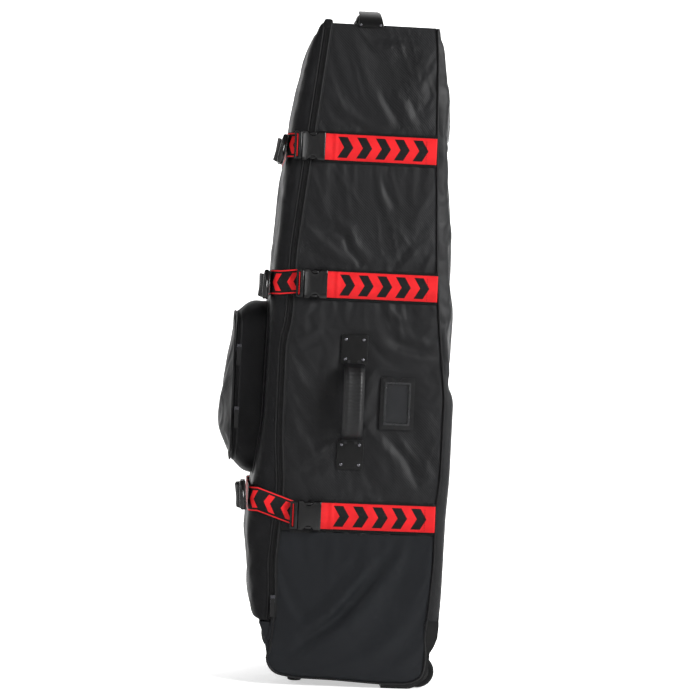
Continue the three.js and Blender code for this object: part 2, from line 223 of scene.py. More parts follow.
def prism(name, outline, low, high, axes="xzy", bevel=0.0, holes=()):
    """An outline of two coordinates, extruded from low to high along the third. axes names the three in order."""
    shaping = bmesh.new()
    order = [axes.index(letter) for letter in "xyz"]

    def vertex(pair, depth):
        values = (pair[0], pair[1], depth)
        return shaping.verts.new(place(*(values[i] for i in order)))

    loops = [outline, *holes]
    lows = [[vertex(p, low) for p in loop] for loop in loops]
    highs = [[vertex(p, high) for p in loop] for loop in loops]
    for lower, upper in zip(lows, highs):
        for i in range(len(lower)):
            j = (i + 1) % len(lower)
            shaping.faces.new((lower[i], lower[j], upper[j], upper[i]))
    for level in (lows, highs):
        edges = []
        for loop in level:
            for i in range(len(loop)):
                pair = (loop[i], loop[(i + 1) % len(loop)])
                edges.append(shaping.edges.get(pair) or shaping.edges.new(pair))
        if holes:
            bmesh.ops.triangle_fill(shaping, edges=edges, use_beauty=True)
        else:
            shaping.faces.new(level[0])
    bmesh.ops.recalc_face_normals(shaping, faces=shaping.faces)
    mesh = bpy.data.meshes.new(name)
    shaping.to_mesh(mesh)
    shaping.free()
    piece = link(name, mesh)
    if bevel:
        add_modifier(piece, "BEVEL", width=bevel * MM, segments=3, limit_method="ANGLE", angle_limit=math.radians(35),
                     harden_normals=False)
    for polygon in mesh.polygons:
        polygon.use_smooth = True
    return piece


def rounded(points, radius, steps=5):
    """A closed outline with each corner replaced by an arc."""
    result = []
    count = len(points)
    for i in range(count):
        corner = Vector(points[i])
        before = Vector(points[i - 1]) - corner
        after = Vector(points[(i + 1) % count]) - corner
        reach = min(radius, before.length / 2.2, after.length / 2.2)
        a = corner + before.normalized() * reach
        b = corner + after.normalized() * reach
        for k in range(steps + 1):
            t = k / steps
            result.append(tuple(a * (1 - t) ** 2 + corner * 2 * t * (1 - t) + b * t * t))
    return result


def box_outline(x0, x1, z0, z1):
    return [(x0, z0), (x1, z0), (x1, z1), (x0, z1)]


def resample(points, count):
    """The same open path with count points evenly along it."""
    path = np.array(points, float)
    lengths = np.concatenate([[0], np.cumsum(np.linalg.norm(np.diff(path, axis=0), axis=1))])
    wanted = np.linspace(0, lengths[-1], count)
    return [tuple(np.interp(w, lengths, path[:, k]) for k in range(path.shape[1])) for w in wanted]


def merge(name, pieces):
    """Joins several meshes into one piece."""
    depsgraph = bpy.context.evaluated_depsgraph_get()
    shaping = bmesh.new()
    for piece in pieces:
        mesh = bpy.data.meshes.new_from_object(piece.evaluated_get(depsgraph))
        shaping.from_mesh(mesh)
        bpy.data.meshes.remove(mesh)
    mesh = bpy.data.meshes.new(name)
    shaping.to_mesh(mesh)
    shaping.free()
    for polygon in mesh.polygons:
        polygon.use_smooth = True
    for piece in pieces:
        bpy.data.objects.remove(piece)
    return link(name, mesh)


def dress(piece, material, body, stands_for=()):
    """Gives a piece its material and body, and hides the CAD nodes that it stands for."""
    piece.data.materials.clear()
    piece.data.materials.append(material)
    if body:
        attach(piece, body)
    if stands_for:
        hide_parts(*stands_for)
    return piece


# ---------------------------------------------------------------- cloth
def slacken(piece, pinned, growth, pressure, cap, frames=20, stiffness=0.4):
    """Lets a sheet that is a little too large for its frame buckle into folds between the pinned points."""
    group = piece.vertex_groups.new(name="pinned")
    group.add([i for i, flag in enumerate(pinned) if flag], 1.0, "REPLACE")
    cloth = piece.modifiers.new("Cloth", "CLOTH")
    settings = cloth.settings
    settings.quality = 5
    settings.mass = 0.25
    settings.tension_stiffness = 20
    settings.compression_stiffness = 20
    settings.shear_stiffness = 8
    settings.bending_stiffness = stiffness
    settings.air_damping = 2
    settings.vertex_group_mass = "pinned"
    settings.shrink_min = -growth
    settings.shrink_max = -growth
    settings.use_pressure = True
    settings.uniform_pressure_force = pressure
    settings.effector_weights.gravity = 0.15
    cloth.collision_settings.use_collision = False
    scene = bpy.context.scene
    cloth.point_cache.frame_start = 1
    cloth.point_cache.frame_end = frames
    for number in range(1, frames + 1):
        scene.frame_set(number)
    moved = piece.evaluated_get(bpy.context.evaluated_depsgraph_get()).data
    count = len(piece.data.vertices)
    before = np.empty(count * 3)
    after = np.empty(count * 3)
    piece.data.vertices.foreach_get("co", before)
    moved.vertices.foreach_get("co", after)
    shift = (after - before).reshape(-1, 3)
    length = np.linalg.norm(shift, axis=1, keepdims=True)
    limit = cap * MM
    shift *= limit * np.tanh(length / limit) / np.maximum(length, 1e-9)
    piece.modifiers.remove(cloth)
    piece.data.vertices.foreach_set("co", (before.reshape(-1, 3) + shift).reshape(-1))
    piece.data.update()
    scene.frame_set(1)


def ridge(x, z, path, width, height):
    """Height at a point of a soft fold that follows a path of (x, z) points and fades at both ends."""
    reach = 3 * width
    if not (min(p[0] for p in path) - reach < x < max(p[0] for p in path) + reach):
        return 0.0
    if not (min(p[1] for p in path) - reach < z < max(p[1] for p in path) + reach):
        return 0.0
    best = 0.0
    total = len(path) - 1
    for i in range(total):
        a = Vector(path[i])
        b = Vector(path[i + 1])
        d = b - a
        t = max(0.0, min(1.0, (Vector((x, z)) - a).dot(d) / d.length_squared))
        gap = (Vector((x, z)) - a - d * t).length
        along = (i + t) / total
        best = max(best, math.exp(-((gap / width) ** 2)) * math.sin(math.pi * min(max(along, 0.04), 0.96)) ** 0.6)
    return best * height


def near_strap(z, margin):
    return any(abs(z - height) < WEB + margin for height, _, _ in STRAPS.values())


def pillow(z):
    """From 0 on a strap to 1 half way between two straps."""
    edges = [352, 742, 794, 1004, 1056, TOP]
    for low, high in zip(edges[::2], edges[1::2]):
        if low <= z <= high:
            return math.sin(math.pi * (z - low) / (high - low))
    return 0.0


# ---------------------------------------------------------------- materials
def make_material(name):
    material = bpy.data.materials.new(name)
    material.use_nodes = True
    nodes = material.node_tree.nodes
    return material, nodes, material.node_tree.links, nodes["Principled BSDF"]


def object_point(nodes):
    return nodes.new("ShaderNodeTexCoord").outputs["Object"]


def noise_node(nodes, links, scale, detail=3.0, rough=0.55):
    texture = nodes.new("ShaderNodeTexNoise")
    texture.inputs["Scale"].default_value = scale
    texture.inputs["Detail"].default_value = detail
    texture.inputs["Roughness"].default_value = rough
    links.new(object_point(nodes), texture.inputs["Vector"])
    return texture.outputs["Fac"]


def wave_node(nodes, links, scale, direction, distortion=0.0):
    texture = nodes.new("ShaderNodeTexWave")
    texture.wave_type = "BANDS"
    texture.bands_direction = direction
    texture.inputs["Scale"].default_value = scale
    texture.inputs["Distortion"].default_value = distortion
    links.new(object_point(nodes), texture.inputs["Vector"])
    return texture.outputs["Fac"]


def math_node(nodes, links, operation, a, b=None, clamp=False):
    node = nodes.new("ShaderNodeMath")
    node.operation = operation
    node.use_clamp = clamp
    for index, value in enumerate((a, b)):
        if value is None:
            continue
        if isinstance(value, (int, float)):
            node.inputs[index].default_value = value
        else:
            links.new(value, node.inputs[index])
    return node.outputs[0]


def mix_colours(nodes, links, factor, a, b):
    node = nodes.new("ShaderNodeMix")
    node.data_type = "RGBA"
    links.new(factor, node.inputs["Factor"])
    for socket, value in ((node.inputs[6], a), (node.inputs[7], b)):
        if isinstance(value, tuple):
            socket.default_value = (*value, 1)
        else:
            links.new(value, socket)
    return node.outputs[2]


def ramp(nodes, links, factor, low, high, start=0.3, end=0.7):
    node = nodes.new("ShaderNodeMapRange")
    node.inputs["From Min"].default_value = start
    node.inputs["From Max"].default_value = end
    node.inputs["To Min"].default_value = low
    node.inputs["To Max"].default_value = high
    links.new(factor, node.inputs["Value"])
    return node.outputs["Result"]


def bump(nodes, links, shader, layers):
    """Stacks bump layers, each (height socket, strength, distance in mm), onto the shader's normal."""
    previous = None
    for height, strength, distance in layers:
        node = nodes.new("ShaderNodeBump")
        node.inputs["Strength"].default_value = strength
        node.inputs["Distance"].default_value = distance * MM
        links.new(height, node.inputs["Height"])
        if previous:
            links.new(previous, node.inputs["Normal"])
        previous = node.outputs["Normal"]
    links.new(previous, shader.inputs["Normal"])


def ribbed_nylon(name, dark, light, rib=2.6, shine=0.2):
    """Nylon with a fine slanting rib, crossed by a weaker weft, and slow changes of shade."""
    material, nodes, links, shader = make_material(name)
    bands = 2 * math.pi / (rib * MM) / 20
    ribs = wave_node(nodes, links, bands, "DIAGONAL", 0.3)
    weft = wave_node(nodes, links, bands * 1.6, "Z")
    blotch = ramp(nodes, links, noise_node(nodes, links, 9, 4), 0, 0.5)
    fleck = ramp(nodes, links, noise_node(nodes, links, 420, 2), -0.2, 0.3)
    shade = math_node(nodes, links, "ADD", blotch, math_node(nodes, links, "MULTIPLY", ribs, 0.22))
    shade = math_node(nodes, links, "ADD", shade, fleck, clamp=True)
    links.new(mix_colours(nodes, links, shade, dark, light), shader.inputs["Base Color"])
    links.new(ramp(nodes, links, noise_node(nodes, links, 30, 2), 0.45, 0.58), shader.inputs["Roughness"])
    shader.inputs["Specular IOR Level"].default_value = shine
    bump(nodes, links, shader, [
        (noise_node(nodes, links, 22, 4), 0.35, 4.0),
        (noise_node(nodes, links, 90, 3), 0.4, 1.2),
        (noise_node(nodes, links, 330, 2), 0.35, 0.5),
        (ribs, 0.45, 0.35),
        (weft, 0.15, 0.25),
    ])
    return material


def tarpaulin(name, dark, light, shine=0.15):
    """Coated cloth: smooth, faintly pebbled, with a soft shine."""
    material, nodes, links, shader = make_material(name)
    blotch = noise_node(nodes, links, 7, 4)
    links.new(mix_colours(nodes, links, ramp(nodes, links, blotch, 0, 1), dark, light), shader.inputs["Base Color"])
    links.new(ramp(nodes, links, noise_node(nodes, links, 24, 2), 0.42, 0.55), shader.inputs["Roughness"])
    shader.inputs["Specular IOR Level"].default_value = shine
    bump(nodes, links, shader, [
        (noise_node(nodes, links, 18, 4), 0.3, 3.0),
        (noise_node(nodes, links, 900, 2), 0.25, 0.12),
    ])
    return material


def moulded(name, dark, light, rough=0.34, grain=0.15, specular=0.3):
    """Moulded plastic with fine texture and lighter worn patches."""
    material, nodes, links, shader = make_material(name)
    wear = noise_node(nodes, links, 60, 5, 0.7)
    links.new(mix_colours(nodes, links, ramp(nodes, links, wear, 0, 1, 0.45, 0.8), dark, light),
              shader.inputs["Base Color"])
    links.new(ramp(nodes, links, noise_node(nodes, links, 140, 3), rough, rough + 0.1), shader.inputs["Roughness"])
    shader.inputs["Specular IOR Level"].default_value = specular
    bump(nodes, links, shader, [(noise_node(nodes, links, 1400, 2), grain, 0.08)])
    return material


def grained(name, dark, light):
    """Coated leather-like patches with a pebble grain."""
    material, nodes, links, shader = make_material(name)
    cells = nodes.new("ShaderNodeTexVoronoi")
    cells.inputs["Scale"].default_value = 520
    links.new(object_point(nodes), cells.inputs["Vector"])
    links.new(mix_colours(nodes, links, ramp(nodes, links, noise_node(nodes, links, 40, 4), 0, 1), dark, light),
              shader.inputs["Base Color"])
    links.new(ramp(nodes, links, cells.outputs["Distance"], 0.26, 0.4, 0, 0.7), shader.inputs["Roughness"])
    shader.inputs["Specular IOR Level"].default_value = 0.2
    bump(nodes, links, shader, [(cells.outputs["Distance"], 0.5, 0.25), (noise_node(nodes, links, 70, 3), 0.2, 0.8)])
    return material


def metal(name, colour, rough):
    material, nodes, links, shader = make_material(name)
    dark = tuple(c * 0.6 for c in colour)
    links.new(mix_colours(nodes, links, ramp(nodes, links, noise_node(nodes, links, 300, 4), 0, 1), dark, colour),
              shader.inputs["Base Color"])
    links.new(ramp(nodes, links, noise_node(nodes, links, 700, 3), rough, rough + 0.15), shader.inputs["Roughness"])
    shader.inputs["Metallic"].default_value = 1.0
    bump(nodes, links, shader, [(noise_node(nodes, links, 900, 2), 0.1, 0.05)])
    return material


def clear_vinyl(name):
    material, nodes, links, shader = make_material(name)
    links.new(mix_colours(nodes, links, ramp(nodes, links, noise_node(nodes, links, 60, 3), 0, 1),
                          (0.0055, 0.0058, 0.0070), (0.0095, 0.0100, 0.0115)), shader.inputs["Base Color"])
    shader.inputs["Specular IOR Level"].default_value = 0.35
    shader.inputs["Roughness"].default_value = 0.12
    shader.inputs["Coat Weight"].default_value = 0.25
    shader.inputs["Coat Roughness"].default_value = 0.08
    bump(nodes, links, shader, [(noise_node(nodes, links, 28, 2), 0.2, 0.8)])
    return material


def webbing_colour(nodes, links, ground, figure, run):
    """Chevrons on a plain ground. run says where they go, in millimetres.

    start and end are the x of both ends, low and high the height of the strap's middle at those ends, first is where
    the first of count chevrons starts, turns is true for a strap that goes round the front corner, and border for
    one with a line near each edge. share is how much of the pitch a chevron fills, and half its half height.
    """
    separate = nodes.new("ShaderNodeSeparateXYZ")
    links.new(object_point(nodes), separate.inputs[0])
    shift = OFFSET.x
    across = separate.outputs["X"]
    middle = ramp(nodes, links, across, run["low"] * MM, run["high"] * MM,
                  run["start"] * MM + shift, run["end"] * MM + shift)
    off = math_node(nodes, links, "ABSOLUTE", math_node(nodes, links, "SUBTRACT", separate.outputs["Z"], middle))
    along = math_node(nodes, links, "SUBTRACT", separate.outputs["Y"], across) if run["turns"] else across
    pitch = run["pitch"] * MM
    origin = run["first"] * MM + (OFFSET.y - shift if run["turns"] else shift)
    slanted = math_node(nodes, links, "ADD", along, math_node(nodes, links, "MULTIPLY", off, 0.6))
    slanted = math_node(nodes, links, "SUBTRACT", slanted, origin)
    bar = math_node(nodes, links, "LESS_THAN", math_node(nodes, links, "FLOORED_MODULO", slanted, pitch), run["share"] * pitch)
    marks = math_node(nodes, links, "MULTIPLY", bar, math_node(nodes, links, "LESS_THAN", off, run["half"] * MM))
    after = math_node(nodes, links, "GREATER_THAN", slanted, 0.0)
    before = math_node(nodes, links, "LESS_THAN", slanted, run["count"] * pitch - 0.1 * pitch)
    marks = math_node(nodes, links, "MULTIPLY", marks, math_node(nodes, links, "MULTIPLY", after, before))
    if run["border"]:
        line = math_node(nodes, links, "SUBTRACT", off, 21.5 * MM)
        line = math_node(nodes, links, "LESS_THAN", math_node(nodes, links, "ABSOLUTE", line), 1.2 * MM)
        marks = math_node(nodes, links, "MAXIMUM", marks, line)
    shade = ramp(nodes, links, noise_node(nodes, links, 50, 3), 0, 1)
    plain = mix_colours(nodes, links, shade, tuple(c * 0.82 for c in ground), ground)
    return mix_colours(nodes, links, marks, plain, figure)


def webbing(name, ground, figure, run=None):
    """Woven strap: a fine twill of ribs along it and picks across it, with its pattern woven in."""
    material, nodes, links, shader = make_material(name)
    if run:
        colour = webbing_colour(nodes, links, ground, figure, run)
    else:
        shade = ramp(nodes, links, noise_node(nodes, links, 50, 3), 0, 1)
        colour = mix_colours(nodes, links, shade, ground, figure)
    links.new(colour, shader.inputs["Base Color"])
    links.new(ramp(nodes, links, noise_node(nodes, links, 200, 2), 0.5, 0.66), shader.inputs["Roughness"])
    shader.inputs["Specular IOR Level"].default_value = 0.15
    pick = 2 * math.pi / (1.1 * MM) / 20
    bump(nodes, links, shader, [
        (wave_node(nodes, links, pick, "DIAGONAL"), 0.35, 0.3),
        (wave_node(nodes, links, pick * 1.4, "Z"), 0.35, 0.3),
    ])
    return material


CLOTH = ribbed_nylon("ribbed_nylon", (0.0022, 0.0022, 0.0026), (0.0074, 0.0076, 0.0086))
# The panels' ribbed nylon made darker for the lid and the pocket: painted shade for faces turned away from the lights.
SHADE_PAINTED_CLOTH = ribbed_nylon("shade_painted_nylon", (0.0020, 0.0020, 0.0024), (0.0056, 0.0057, 0.0064), shine=0.12)
SLATE = tarpaulin("slate_tarpaulin", (0.0052, 0.0060, 0.0074), (0.0072, 0.0081, 0.0098))
BUCKLE = moulded("buckle_acetal", (0.0010, 0.0010, 0.0012), (0.0020, 0.0020, 0.0023), rough=0.13, grain=0.03, specular=0.4)
TRAY = moulded("tray_plastic", (0.002, 0.002, 0.0022), (0.005, 0.005, 0.0053), rough=0.4, grain=0.35, specular=0.22)
HUB = moulded("hub_plastic", (0.003, 0.003, 0.0033), (0.006, 0.006, 0.0064), rough=0.25)
RUBBER = moulded("tyre_rubber", (0.0022, 0.0022, 0.0025), (0.005, 0.005, 0.005), rough=0.6, grain=0.4, specular=0.14)
LEATHER = grained("handle_patch", (0.0018, 0.0018, 0.0019), (0.0036, 0.0036, 0.0037))
GRIP = tarpaulin("grip_cloth", (0.0024, 0.0024, 0.0027), (0.0045, 0.0046, 0.0052), shine=0.34)
PIPING = moulded("piping_cord", (0.0028, 0.0028, 0.0032), (0.007, 0.0072, 0.008), rough=0.46, grain=0.2, specular=0.2)
TAPE = webbing("zip_tape", (0.0012, 0.0012, 0.0014), (0.0030, 0.0030, 0.0034))
BACKING = webbing("backing_webbing", (0.0016, 0.0016, 0.0018), (0.0040, 0.0040, 0.0044))
THREAD = webbing("thread", (0.004, 0.004, 0.0045), (0.010, 0.010, 0.011))
TAIL = webbing("tail_webbing", (0.002, 0.002, 0.0022), (0.0055, 0.0055, 0.006))
LADDER_WEB = webbing("red_webbing", (0.48, 0.008, 0.011), (0.62, 0.010, 0.014))
STEEL = metal("zip_metal", (0.09, 0.09, 0.10), 0.2)
PULLER = moulded("puller_rubber", (0.002, 0.002, 0.0023), (0.005, 0.005, 0.0055), rough=0.28, specular=0.3)
RIVET = metal("rivet_metal", (0.16, 0.16, 0.175), 0.14)
VINYL = clear_vinyl("clear_vinyl")
FRAME_VINYL = moulded("frame_vinyl", (0.0018, 0.0018, 0.0022), (0.0040, 0.0040, 0.0046), rough=0.3, specular=0.3)
# Lighter than the window's frame: a painted highlight along the raised rim round the pane.
HIGHLIGHT_RIM_VINYL = moulded("rim_vinyl_painted_highlight", (0.010, 0.0105, 0.0115), (0.018, 0.0185, 0.020), rough=0.24, specular=0.5)


# ---------------------------------------------------------------- camera, lights and floor
def make_camera():
    """Stands square to the buckle side with a slight turn to the front, at half the bag's height."""
    distance = 4.0
    azimuth = math.radians(-4)
    elevation = math.radians(0.5)
    roll = math.radians(2.5)
    aim = place(19.5, -HALF, 645)
    back = Vector((math.sin(azimuth) * math.cos(elevation), -math.cos(azimuth) * math.cos(elevation),
                   math.sin(elevation)))
    data = bpy.data.cameras.new("camera")
    data.lens = 107.8
    data.sensor_width = 36
    data.clip_end = 60
    camera = bpy.data.objects.new("camera", data)
    bpy.context.scene.collection.objects.link(camera)
    turn = back.to_track_quat("Z", "Y").to_matrix().to_4x4()
    camera.matrix_world = Matrix.Translation(aim + back * distance) @ turn @ Matrix.Rotation(roll, 4, "Z")
    bpy.context.scene.camera = camera


def area_light(name, location, aim, size, power, colour=(1, 1, 1)):
    data = bpy.data.lights.new(name, "AREA")
    data.shape = "RECTANGLE"
    data.size, data.size_y = size
    data.energy = power
    data.color = colour
    lamp = bpy.data.objects.new(name, data)
    bpy.context.scene.collection.objects.link(lamp)
    lamp.location = location
    lamp.rotation_euler = (Vector(aim) - Vector(location)).to_track_quat("-Z", "Y").to_euler()
    lamp.visible_camera = False


def make_studio():
    """A pale round cove with tall soft boxes at both sides and one above. The cove glows: painted light, dim in front
    of the bag and bright behind it, so that the floor washes out the bag's shadow.
    """
    profile = [(0.0, 0.0), (5.5, 0.0), (6.4, 0.12), (7.1, 0.5), (7.6, 1.2), (7.8, 2.2), (7.8, 5.5)]
    steps = 64
    vertices = []
    faces = []
    for radius, height in profile:
        for k in range(steps):
            angle = 2 * math.pi * k / steps
            vertices.append((radius * math.cos(angle), radius * math.sin(angle), height))
    for r in range(len(profile) - 1):
        for k in range(steps):
            n = (k + 1) % steps
            faces.append((r * steps + k, r * steps + n, (r + 1) * steps + n, (r + 1) * steps + k))
    mesh = bpy.data.meshes.new("cove")
    mesh.from_pydata(vertices, [], faces)
    for polygon in mesh.polygons:
        polygon.use_smooth = True
    cove = link("cove", mesh)
    material, nodes, links, shader = make_material("glowing_pale_paper")
    links.new(mix_colours(nodes, links, noise_node(nodes, links, 2, 2), (0.78, 0.78, 0.78), (0.80, 0.80, 0.80)),
              shader.inputs["Base Color"])
    shader.inputs["Roughness"].default_value = 0.95
    shader.inputs["Specular IOR Level"].default_value = 0.1
    shader.inputs["Emission Color"].default_value = (1, 1, 1, 1)
    separate = nodes.new("ShaderNodeSeparateXYZ")
    links.new(object_point(nodes), separate.inputs[0])
    # Emission from 0.1 in front of the bag to 0.9 behind it: painted light that glows through the bag's shadow on the
    # floor.
    links.new(ramp(nodes, links, separate.outputs["Y"], 0.1, 0.9, -0.5, 0.3), shader.inputs["Emission Strength"])
    cove.data.materials.append(material)
    world = bpy.data.worlds.new("studio")
    bpy.context.scene.world = world
    world.use_nodes = True
    world.node_tree.nodes["Background"].inputs[0].default_value = (1, 1, 1, 1)
    world.node_tree.nodes["Background"].inputs[1].default_value = 0.25
    middle = (0, 0, 0.7)
    area_light("soft_box_right", (3.0, -2.3, 2.3), (0, 0, 0.8), (0.8, 2.0), 225)
    area_light("soft_box_left", (-2.4, -2.8, 1.5), middle, (0.6, 1.5), 13)
    area_light("soft_box_top", (0.3, 1.2, 3.4), middle, (2.2, 2.0), 34)
    area_light("soft_box_back", (1.6, 2.8, 1.8), middle, (1.2, 1.8), 40)
    bpy.context.scene.view_settings.view_transform = "Standard"


# ---------------------------------------------------------------- shell
def rows_between(low, high, step):
    count = max(2, round((high - low) / step) + 1)
    return [low + (high - low) * i / (count - 1) for i in range(count)]


# Each fold: its path of (x, z) points, its width and its height.
SIDE_FOLDS = [
    # above the top strap, slanting down to the back
    ([(-52, 1142), (-9, 1102), (28, 1066)], 9, 5),
    ([(-10, 1104), (10, 1082), (32, 1062)], 7, -4),
    ([(40, 1142), (62, 1104), (86, 1066)], 8, 2.8),
    ([(58, 1140), (80, 1104), (104, 1064)], 7, -4),
    ([(80, 1150), (104, 1108), (128, 1066)], 7, 3.6),
    ([(100, 1146), (122, 1108), (142, 1066)], 6, -3.5),
    ([(138, 1150), (152, 1110), (164, 1064)], 8, 3),
    ([(0, 1254), (60, 1247), (145, 1240)], 10, -5),
    ([(10, 1236), (70, 1228), (150, 1222)], 13, 3),
    ([(-45, 1215), (0, 1190), (50, 1180)], 20, 2.5),
    ([(60, 1215), (90, 1160), (96, 1120)], 20, 3),
    # slack above the middle strap
    ([(-78, 884), (-18, 890), (10, 876), (22, 846), (56, 812)], 10, 6),
    ([(-76, 868), (-20, 872), (2, 860), (9, 838), (42, 804)], 7, -7),
    ([(-74, 846), (-34, 846), (-14, 828), (-2, 804)], 9, 4.5),
    ([(142, 846), (124, 822), (108, 798)], 8, 4.5),
    ([(124, 850), (108, 826), (94, 798)], 7, -4),
    ([(168, 838), (160, 816), (152, 798)], 6, 4),
    ([(54, 960), (70, 932), (88, 912)], 9, 2.6),
    ([(66, 966), (84, 938), (100, 918)], 7, -3.5),
    ([(110, 980), (135, 930), (150, 880)], 16, 3),
    # between the middle strap and the handle
    ([(-98, 652), (-66, 668), (-36, 682)], 8, 4.5),
    ([(-96, 636), (-60, 652), (-30, 668)], 6, -3.5),
    ([(-94, 694), (-70, 712), (-56, 734)], 7, 4),
    ([(-88, 716), (-66, 728), (-40, 730)], 6, 3),
    ([(90, 690), (150, 668), (198, 650)], 10, 5),
    ([(80, 672), (140, 655), (198, 640)], 7, -4.5),
    ([(60, 655), (130, 640), (200, 628)], 9, 4.5),
    ([(70, 724), (120, 706), (188, 700)], 10, 3.5),
    # below the handle and the window
    ([(-84, 412), (-40, 442), (2, 470)], 11, 4.5),
    ([(-80, 396), (-36, 424), (4, 448)], 8, -4),
    ([(60, 500), (118, 440), (150, 372)], 11, 3.6),
    ([(80, 500), (134, 444), (166, 380)], 8, -4.5),
    ([(104, 492), (152, 446), (192, 400)], 10, 4.5),
    ([(-76, 600), (-40, 520), (-30, 440)], 20, 2.5),
    ([(-96, 560), (-84, 500), (-88, 430)], 10, 2.5),
]


def crumple(x, z):
    """Fine creases that run steeply down to the back, in patches."""
    along = x * 0.42 - z * 0.91
    across = x * 0.91 + z * 0.42
    patch = min(1.0, max(0.0, 0.5 + 1.6 * noise.noise(Vector((x * 0.012, z * 0.010, 6.1)))))
    crease = 1 - 2.6 * abs(noise.noise(Vector((across * 0.045, along * 0.011, 2.2))))
    small = 1 - 2.6 * abs(noise.noise(Vector((across * 0.095, along * 0.024, 7.9))))
    return patch * (2.6 * max(0.0, crease) ** 2 + 1.3 * max(0.0, small) ** 2 - 1.2)


def side_folds(x, z):
    """All the folds of the upper side panel at one point."""
    return crumple(x, z) + sum(ridge(x, z, path, width, height) for path, width, height in SIDE_FOLDS)


def strap_puckers(x, z):
    """Short upright puckers where the webbing draws the cloth together."""
    total = 0.0
    for height in (1030, 768, 327):
        gap = abs(z - height) - 31
        if -6 < gap < 70:
            fade = math.exp(-max(gap, 0) / 15)
            seed = height * 0.37 + (3.1 if z > height else 7.7)
            wave = noise.noise(Vector((x * 0.062 + seed, gap * 0.006, seed)))
            fine = noise.noise(Vector((x * 0.13 + seed * 2, gap * 0.01, seed)))
            total += fade * min(1.0, max(gap + 6, 0) / 10) * (4.4 * wave + 2.4 * fine)
    return total


def side_panel(side, label):
    """The ribbed upper panel on one side: -1 is the near side, with the zip's curved front edge."""
    columns = 58
    rows = []
    pinned = []
    for z in rows_between(SLATE_TOP - 3, TOP - 2, 4.5):
        left = zip_x(z) + 7 if side < 0 else HINGE_X + 2
        right = pipe_x(z) - 1
        row = []
        for i in range(columns + 1):
            u = i / columns
            x = left + (right - left) * u
            edge = math.sin(math.pi * u) ** 0.7
            crown = 7 * edge * pillow(z)
            folds = edge ** 0.4 * (side_folds(x, z) + strap_puckers(x, z)) * (0.0 if near_strap(z, 2) else 1.0)
            free = min(1.0, max(0.0, (free_distance(x, z) - 4) / 20)) if side < 0 else 1.0
            crown *= free
            folds *= free
            row.append((x, side * (HALF - 0.6 + crown * 0.6 + folds * 0.8), z))
            border = i in (0, columns) or z < SLATE_TOP + 3 or z > TOP - 8
            pinned.append(border or near_strap(z, 1) or (side < 0 and free_distance(x, z) < 2))
        rows.append(row)
    panel = sheet_mesh("side_cover_" + label, rows, (40, side * 900, 700))
    slacken(panel, pinned, 0.003, 0.4, 5)
    thicken(panel)
    dress(panel, CLOTH, "shell", ["side_panel_" + label])


# Where the near panel is held down: middle x and z, half width and half height of each pad and of the window.
HELD = [(28, 445.5, 26, 28.5), (28, 646.5, 26, 28.5), (114, 546, 33, 50)]


def free_distance(x, z):
    """How far a point of the near panel is from the nearest handle pad or the identity window."""
    return min(math.hypot(max(abs(x - cx) - hx, 0), max(abs(z - cz) - hz, 0)) for cx, cz, hx, hz in HELD)


def slate_base(u):
    """Lower edge of the slate panel, from the front corner round to the wheel."""
    outline = rounded_path([(-114, 92), (-116, 60), (-112, 38), (-98, 23), (-60, 17), (15, 15), (100, 10), (158, 11),
                            (185, 23), (190, 60), (187, 92)])
    return outline[round(u * (len(outline) - 1))]


def rounded_path(points, count=61):
    dense = resample(points, 241)
    path = np.array(dense)
    for _ in range(40):
        path[1:-1] = (path[:-2] + path[1:-1] * 2 + path[2:]) / 4
    return resample(path, count)


def slate_folds(x, z):
    """One sharp crease from the front foot up to the back piping, with a swell on each side of it."""
    crease = [(-77, 48), (-41, 88), (15, 132), (65, 192), (107, 247), (153, 284)]
    above = [(x0 - 14, z0 + 13) for x0, z0 in crease]
    below = [(x0 + 16, z0 - 14) for x0, z0 in crease]
    return (
        ridge(x, z, above, 20, 8)
        + ridge(x, z, below, 18, 5)
        - ridge(x, z, crease, 12, 12)
        + 0.5 * crumple(x, z)
        - ridge(x, z, [(-70, 110), (20, 205), (90, 275)], 14, 3)
        + ridge(x, z, [(-70, 262), (-10, 240), (60, 262)], 18, 3)
        + ridge(x, z, [(-98, 200), (-70, 130), (-72, 60)], 16, 3)
        + ridge(x, z, [(70, 60), (130, 100), (186, 160)], 17, 4)
    )


def slate_panel(side, label):
    """The coated lower panel, with one long crease that runs up to the back."""
    columns = 60
    top_row = [(zip_x(SLATE_TOP) + 7 + (pipe_x(SLATE_TOP) - 1 - zip_x(SLATE_TOP) - 7) * i / columns)
               for i in range(columns + 1)]
    rows = []
    pinned = []
    levels = 46
    for r in range(levels + 1):
        v = r / levels
        row = []
        for i in range(columns + 1):
            u = i / columns
            bx, bz = slate_base(u)
            tx, tz = top_row[i], SLATE_TOP
            x = bx + (tx - bx) * v
            z = bz + (tz - bz) * v
            if i == 0:
                x = zip_x(max(z, 60)) + 4
            if i == columns:
                x = pipe_x(max(z, 65)) - 1
            edge = (math.sin(math.pi * u) * math.sin(math.pi * v)) ** 0.5
            folds = slate_folds(x, z)
            row.append((x, side * (HALF - 0.6 + edge * (3 + folds)), z))
            pinned.append(i in (0, columns) or r in (0, levels))
        rows.append(row)
    panel = sheet_mesh("slate_cover_" + label, rows, (40, side * 900, 150))
    slacken(panel, pinned, 0.002, 0.3, 4, stiffness=1.2)
    thicken(panel)
    dress(panel, SLATE, "shell", [f"side_panel_{label}_lower"])


def back_section(z, count):
    """Half-round strip from each side piping to the back, and the flat back between them."""
    pipe = pipe_x(z)
    back = back_x(z)
    depth = back - pipe
    path = [(pipe, -HALF + 0.5), (pipe + depth * 0.55, -HALF + 1.5), (pipe + depth * 0.9, -HALF + 8),
            (back, -HALF + 22), (back + 1.5, -60), (back + 2, 0), (back + 1.5, 60), (back, HALF - 22),
            (pipe + depth * 0.9, HALF - 8), (pipe + depth * 0.55, HALF - 1.5), (pipe, HALF - 0.5)]
    return resample(path, count)


